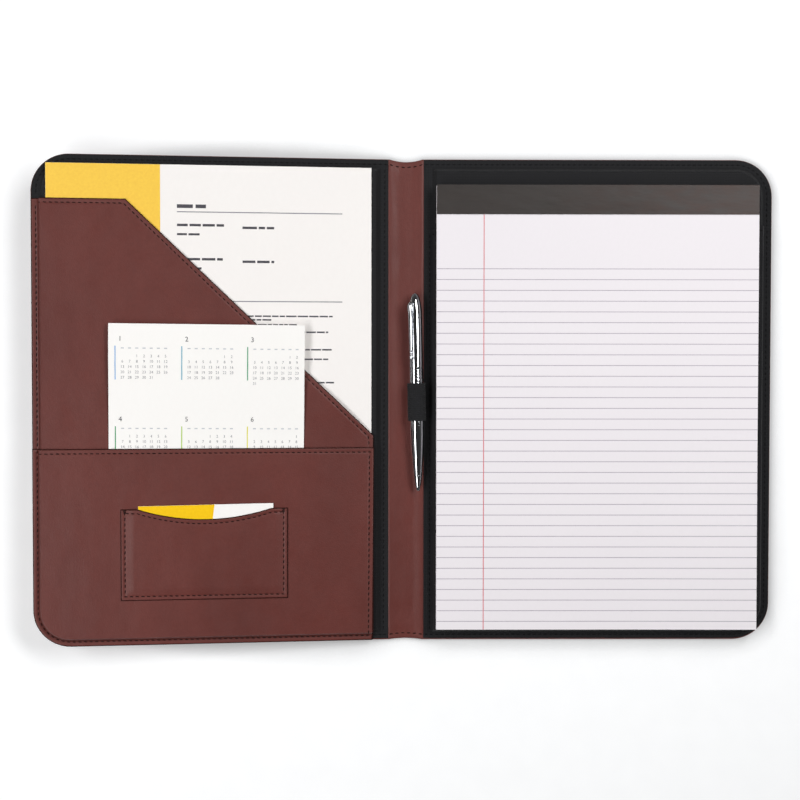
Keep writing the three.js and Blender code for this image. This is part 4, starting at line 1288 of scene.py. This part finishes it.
def make_loop():
    """The elastic that holds the pen: ribs run round the barrel, and its ends go into the seam."""
    ribs, low, high = 19, -13.4, 12.0
    inner, valley, crest = 5.1, 5.38, 5.8
    step = (high - low) / ribs
    profile = [(inner, low), (valley, low)]
    for rib in range(ribs):
        y = low + rib * step
        profile += [(valley + 0.04, y + step * 0.12), (crest, y + step * 0.35), (crest, y + step * 0.65)]
        profile += [(valley + 0.04, y + step * 0.88), (valley, y + step)]
    profile += [(inner, high), (inner, low)]
    bm = turned(profile, 64)
    tab = bmesh.new()
    section = [tab.verts.new((-1.5, y, 0.02 - radius)) for radius, y in profile[:-1]]
    face = tab.faces.new(section)
    moved = extruded(tab, [face], bmesh.types.BMVert)
    bmesh.ops.translate(tab, verts=moved, vec=(5.6, 0, 0.35))
    bmesh.ops.recalc_face_normals(tab, faces=tab.faces[:])
    band = bpy.data.meshes.new("band")
    tab.to_mesh(band)
    tab.free()
    bm.from_mesh(band)
    bpy.data.meshes.remove(band)
    widened = Matrix.Scale(1.08, 4, (1, 0, 0))
    bm.transform(PEN_PLACE @ widened)
    look = finishes()
    make_piece("pen_loop_elastic", bm, look["elastic"], "spine", ["pen_loop"], "elastic", smooth=60)


def pen_profiles():
    """The turned pieces of the pen as (radius, height) lines, with the CAD node and body of each. Those
    that hold another piece are tubes, and their lines come back to where they start."""
    radius, dome, crown_low, bore, spigot = 4.8, 14.9, 56.3, 3.6, 3.3
    shoulder = 72.9 - dome
    top = [
        (radius * math.cos(math.radians(a)) ** 0.92, shoulder + dome * math.sin(math.radians(a)))
        for a in range(6, 90, 6)
    ]
    crown = [(0, crown_low - 6), (spigot, crown_low - 6), (spigot, crown_low), (4.7, crown_low)]
    crown += [(4.77, crown_low + 0.06), (radius, crown_low + 0.2)]
    crown += [(radius, shoulder)] + top + [(0, 72.9)]
    upper = [(bore, 22.3), (4.5, 22.3), (4.68, 22.45), (4.74, 23), (4.78, 32), (radius, 45), (radius, 55.5)]
    upper += [(radius, 56.05), (4.77, 56.2), (4.7, 56.26), (bore, 56.26), (bore, 22.3)]
    band = [(bore, 12.7), (4.6, 12.7), (4.85, 12.85), (4.95, 13.3), (4.95, 14.6), (4.85, 15.0)]
    band.append((4.62, 15.2))
    for groove in range(3):
        y = 15.9 + 2.1 * groove
        band += [(4.62, y - 0.3), (4.86, y - 0.05), (4.9, y + 0.35), (4.9, y + 0.85), (4.86, y + 1.25)]
        band += [(4.62, y + 1.5)]
    band += [(4.66, 22.1), (4.5, 22.27), (bore, 22.27), (bore, 12.7)]
    lower = [(2.45, -50.3), (2.7, -50.3), (2.95, -50.1)]
    for i in range(1, 13):
        share = i / 12
        lower.append((2.95 + 1.8 * math.sin(math.pi / 2 * share), -50.1 + 33.1 * share))
    lower += [(4.76, -8), (4.76, 12.3), (4.66, 12.6), (4.5, 12.67), (bore, 12.67), (bore, -5), (2.45, -17)]
    lower.append((2.45, -50.3))
    cone = [(0.75, -60.9), (0.95, -60.7), (1.25, -60.2), (1.32, -58.8), (1.62, -58.4)]
    cone += [(2.3, -54.6), (2.86, -51.2), (2.92, -50.5), (2.8, -50.33), (2.15, -50.33)]
    cone += [(2.15, -46.6), (1.8, -46.6), (1.8, -51.6), (0.75, -57.4), (0.75, -60.9)]
    return {
        "pen_barrel_upper": (upper, "pen_upper_barrel", "pen"),
        "pen_dome": (crown, "pen_crown", "pen"),
        "pen_ringed_band": (band, "pen_band", "pen"),
        "pen_barrel_lower": (lower, "pen_lower_barrel", "pen_lower_half"),
        "pen_cone": (cone, "pen_tip_cone", "pen_lower_half"),
    }


CLIP_STATIONS = (
    (66.6, 0.5, 0.25, 6.0), (66.3, 1.05, 0.5, 6.1), (65.6, 1.5, 0.72, 6.3), (64.4, 1.78, 0.9, 6.45),
    (62.6, 1.9, 0.98, 6.5), (60.6, 1.85, 0.92, 6.46), (58.8, 1.62, 0.72, 6.38), (57.2, 1.42, 0.55, 6.3),
    (54, 1.34, 0.46, 6.26), (44, 1.22, 0.42, 6.22), (36.5, 1.08, 0.42, 6.18), (34.6, 0.95, 0.42, 6.16),
    (33.8, 0.62, 0.4, 6.12), (33.2, 0.95, 0.58, 6.12), (32.4, 1.1, 0.66, 6.1), (31.7, 0.66, 0.42, 6.05),
    (31.1, 0.62, 0.42, 6.0), (30.4, 1.05, 0.78, 5.95), (29.4, 1.32, 1.0, 5.9), (28.4, 1.18, 0.9, 5.88),
    (27.8, 0.7, 0.5, 5.86), (27.6, 0.25, 0.2, 5.86),
)


def clip_mesh():
    """The spring clip: a round-shouldered bar that narrows to a beaded neck and a small ball."""
    bm = bmesh.new()
    bmesh.ops.create_circle(bm, cap_ends=True, segments=20, radius=1)
    bmesh.ops.rotate(bm, verts=bm.verts[:], cent=(0, 0, 0), matrix=Matrix.Rotation(math.pi / 2, 3, "X"))
    face = bm.faces[:][0]
    height, across, depth, out = 0, 1, 1, 0
    for index, (new_height, new_across, new_depth, new_out) in enumerate(CLIP_STATIONS):
        if index:
            face = extruded(bm, [face], bmesh.types.BMFace)[0]
        grow = (new_depth / depth, 1, new_across / across)
        centred = Matrix.Translation((-out, -height, 0))
        bmesh.ops.scale(bm, verts=face.verts[:], vec=grow, space=centred)
        bmesh.ops.translate(bm, verts=face.verts[:], vec=(new_out - out, new_height - height, 0))
        height, across, depth, out = new_height, new_across, new_depth, new_out
    box_in(bm, (3.6, 64.5, -1.2), (6.3, 65.9, 1.2))
    bmesh.ops.recalc_face_normals(bm, faces=bm.faces[:])
    round_barrel = math.radians(-122)
    bm.transform(Matrix.Rotation(round_barrel, 4, "Y"))
    return bm


def make_pen():
    """The twist pen: its turned pieces, its spring clip, and the sleeve and refill inside."""
    look = finishes()
    for name, (profile, node, body) in pen_profiles().items():
        bm = turned(profile)
        bm.transform(PEN_PLACE)
        make_piece(name, bm, look["chrome"], body, [node], "pen_chrome", smooth=40)
    clip = clip_mesh()
    clip.transform(PEN_PLACE)
    make_piece(
        "pen_spring_bar", clip, look["chrome"], "pen_spring_clip", ["pen_clip"], "pen_chrome", smooth=50
    )
    dress_node("pen_twist_mechanism", "brass")
    dress_node("pen_refill", "brass")


# Camera, light and floor

CAMERA_PLACE = Vector((MIDDLE - 9.71, 24.17, 856.5)) * MM
CAMERA_TURN = Euler((-0.02782, -0.00664, 0.00058), "ZYX")
FOCAL_PIXELS, PICTURE_PIXELS, SENSOR = 1256.02, 800, 36


def make_camera():
    """The camera straight above, as it was fitted to the paper sizes."""
    camera = bpy.data.cameras.new("Camera")
    camera.sensor_width = SENSOR
    camera.lens = FOCAL_PIXELS / PICTURE_PIXELS * SENSOR
    holder = bpy.data.objects.new("Camera", camera)
    holder.rotation_mode = "ZYX"
    holder.location = CAMERA_PLACE
    holder.rotation_euler = CAMERA_TURN
    bpy.context.scene.collection.objects.link(holder)
    bpy.context.scene.camera = holder


def soft_box(name, place, aim, size, power):
    """A rectangular studio light that faces a place."""
    light = bpy.data.lights.new(name, "AREA")
    light.shape = "RECTANGLE"
    light.size, light.size_y = size
    light.energy = power
    holder = bpy.data.objects.new(name, light)
    holder.location = place
    holder.rotation_mode = "QUATERNION"
    holder.rotation_quaternion = (Vector(aim) - Vector(place)).to_track_quat("-Z", "Y")
    bpy.context.scene.collection.objects.link(holder)


def make_floor():
    """A white paper sweep that keeps the portfolio's shadow and shows as white where none falls."""
    bm = bmesh.new()
    below = Matrix.Translation((0, 0, -0.0004))
    bmesh.ops.create_grid(bm, x_segments=4, y_segments=4, size=4, matrix=below)
    mesh = bpy.data.meshes.new("Floor")
    bm.to_mesh(mesh)
    bm.free()
    floor = bpy.data.objects.new("Floor", mesh)
    bpy.context.scene.collection.objects.link(floor)
    material, tree, place = new_material("Studio_paper_sweep")
    base = mottled(tree, cloudy(tree, place, (60,) * 3, 2.0), srgb("F4F5F6"), srgb("F7F8F9"))
    # The open paper is a little over white, so the shade close to the covers is deepened to keep it.
    near = add(tree, "ShaderNodeAmbientOcclusion", {"Distance": 0.022}, "AO", samples=16)
    near = add(tree, RANGE, {"Value": near, "From Min": 0.84, "From Max": 0.99, "To Min": 0.62})
    base = add(tree, MIX, {0: near, 6: srgb("000000"), 7: base}, 2, data_type="RGBA")
    kinds = ("Camera", "Glossy", "Transmission")
    rays = [add(tree, "ShaderNodeLightPath", {}, f"Is {kind} Ray") for kind in kinds]
    seen = add(tree, MATH, {0: rays[0], 1: rays[1]}, operation="MAXIMUM")
    seen = add(tree, MATH, {0: seen, 1: rays[2]}, operation="MAXIMUM")
    # The lamps reach less far than the sweep, so it brightens itself towards its ends.
    far = add(tree, "ShaderNodeVectorMath", {0: place}, "Value", operation="LENGTH")
    glow = {"Value": far, "From Min": 0.4, "From Max": 1.5, "To Min": 0.18}
    glow = add(tree, MATH, {0: seen, 1: add(tree, RANGE, glow)}, operation="MULTIPLY")
    plain = {SPECULAR: 0.1, "Roughness": 0.9, "Emission Color": (1, 1, 1, 1)}
    feed(tree, tree.nodes["Principled BSDF"], {"Base Color": base, "Emission Strength": glow, **plain})
    mesh.materials.append(material)
    floor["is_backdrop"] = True


def make_world():
    """A plain studio: dim overhead and brighter walls, so that polished metal has contrast and a soft
    shadow falls all round. What the camera sees of it is plain white."""
    world = bpy.data.worlds.new("Studio")
    bpy.context.scene.world = world
    world.use_nodes = True
    tree = world.node_tree
    direction = add(tree, "ShaderNodeTexCoord", {}, "Generated")
    height = add(tree, "ShaderNodeSeparateXYZ", {0: direction}, "Z")
    walls = {"Value": height, "From Min": 0.25, "From Max": 0.8, "To Min": 0.1, "To Max": 0.035}
    seen = add(tree, "ShaderNodeLightPath", {}, "Is Camera Ray")
    level = add(tree, MATH, {0: add(tree, RANGE, walls), 1: seen}, operation="MAXIMUM")
    feed(tree, tree.nodes["Background"], {"Strength": level, "Color": (1, 1, 1, 1)})


def make_studio():
    """The camera, the floor, the world and two long soft lights, whose images run along the pen."""
    make_camera()
    make_floor()
    make_world()
    soft_box("Left_light", place=(-0.66, -0.13, 0.9), aim=(-0.02, 0.0, 0), size=(1.3, 0.28), power=8.15)
    soft_box("Right_light", place=(0.52, 0.34, 0.92), aim=(0.02, 0.02, 0), size=(0.8, 0.3), power=7.85)
    bpy.context.scene.view_settings.view_transform = "Standard"


# The add-on


class PORTFOLIO_OT_studio(bpy.types.Operator):
    """Makes the camera, the floor and the lights"""

    bl_idname = "portfolio.studio"
    bl_label = "Studio"

    def execute(self, context):
        make_studio()
        return {"FINISHED"}


class PORTFOLIO_OT_padding(bpy.types.Operator):
    """Makes the padding and finishes the boards"""

    bl_idname = "portfolio.padding"
    bl_label = "Padding"

    def execute(self, context):
        make_padding()
        return {"FINISHED"}


class PORTFOLIO_OT_hide(bpy.types.Operator):
    """Makes the outer hide and the spine's strip"""

    bl_idname = "portfolio.hide"
    bl_label = "Hide and spine"

    def execute(self, context):
        make_hide()
        return {"FINISHED"}


class PORTFOLIO_OT_linings(bpy.types.Operator):
    """Makes the linings and the slot panel"""

    bl_idname = "portfolio.linings"
    bl_label = "Linings"

    def execute(self, context):
        make_linings()
        return {"FINISHED"}


class PORTFOLIO_OT_letter(bpy.types.Operator):
    """Makes the letter sheet"""

    bl_idname = "portfolio.letter"
    bl_label = "Letter"

    def execute(self, context):
        make_letter()
        return {"FINISHED"}


class PORTFOLIO_OT_calendar(bpy.types.Operator):
    """Makes the calendar card"""

    bl_idname = "portfolio.calendar"
    bl_label = "Calendar"

    def execute(self, context):
        make_calendar()
        return {"FINISHED"}


class PORTFOLIO_OT_card(bpy.types.Operator):
    """Makes the business card"""

    bl_idname = "portfolio.card"
    bl_label = "Business card"

    def execute(self, context):
        make_visiting_card()
        return {"FINISHED"}


class PORTFOLIO_OT_pockets(bpy.types.Operator):
    """Makes the leather pockets"""

    bl_idname = "portfolio.pockets"
    bl_label = "Pockets"

    def execute(self, context):
        make_pockets()
        return {"FINISHED"}


class PORTFOLIO_OT_pad(bpy.types.Operator):
    """Makes the ruled pad"""

    bl_idname = "portfolio.pad"
    bl_label = "Writing pad"

    def execute(self, context):
        make_pad()
        return {"FINISHED"}


class PORTFOLIO_OT_loop(bpy.types.Operator):
    """Makes the elastic loop"""

    bl_idname = "portfolio.loop"
    bl_label = "Pen loop"

    def execute(self, context):
        make_loop()
        return {"FINISHED"}


class PORTFOLIO_OT_pen(bpy.types.Operator):
    """Makes the pen"""

    bl_idname = "portfolio.pen"
    bl_label = "Pen"

    def execute(self, context):
        make_pen()
        return {"FINISHED"}


STEPS = (
    PORTFOLIO_OT_studio,
    PORTFOLIO_OT_padding,
    PORTFOLIO_OT_hide,
    PORTFOLIO_OT_linings,
    PORTFOLIO_OT_letter,
    PORTFOLIO_OT_calendar,
    PORTFOLIO_OT_card,
    PORTFOLIO_OT_pockets,
    PORTFOLIO_OT_pad,
    PORTFOLIO_OT_loop,
    PORTFOLIO_OT_pen,
)


class PORTFOLIO_PT_panel(bpy.types.Panel):
    """Lists the steps that dress the portfolio, with its sizes and colours"""

    bl_idname = "PORTFOLIO_PT_panel"
    bl_label = "Portfolio"
    bl_space_type = "VIEW_3D"
    bl_region_type = "UI"
    bl_category = "Portfolio"

    def draw(self, context):
        for group in (context.scene.portfolio_sizes, context.scene.portfolio_colours):
            column = self.layout.column()
            for name in group.__annotations__:
                column.prop(group, name)
        for kind in STEPS:
            self.layout.operator(kind.bl_idname)


CLASSES = (PortfolioSizes, PortfolioColours, *STEPS, PORTFOLIO_PT_panel)


def register():
    for kind in CLASSES:
        bpy.utils.register_class(kind)
    bpy.types.Scene.portfolio_sizes = bpy.props.PointerProperty(type=PortfolioSizes)
    bpy.types.Scene.portfolio_colours = bpy.props.PointerProperty(type=PortfolioColours)


def unregister():
    del bpy.types.Scene.portfolio_colours
    del bpy.types.Scene.portfolio_sizes
    for kind in reversed(CLASSES):
        bpy.utils.unregister_class(kind)


def main():
    """Registers the add-on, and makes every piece."""
    register()
    bpy.ops.portfolio.studio()
    bpy.ops.portfolio.padding()
    bpy.ops.portfolio.hide()
    bpy.ops.portfolio.linings()
    bpy.ops.portfolio.letter()
    bpy.ops.portfolio.calendar()
    bpy.ops.portfolio.card()
    bpy.ops.portfolio.pockets()
    bpy.ops.portfolio.pad()
    bpy.ops.portfolio.loop()
    bpy.ops.portfolio.pen()
    boxes = {"cad": CAD_BOX, "visual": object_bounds()}
    {name: [list(low), list(high)] for name, (low, high) in boxes.items()}


if __name__ == "__main__":
    main()
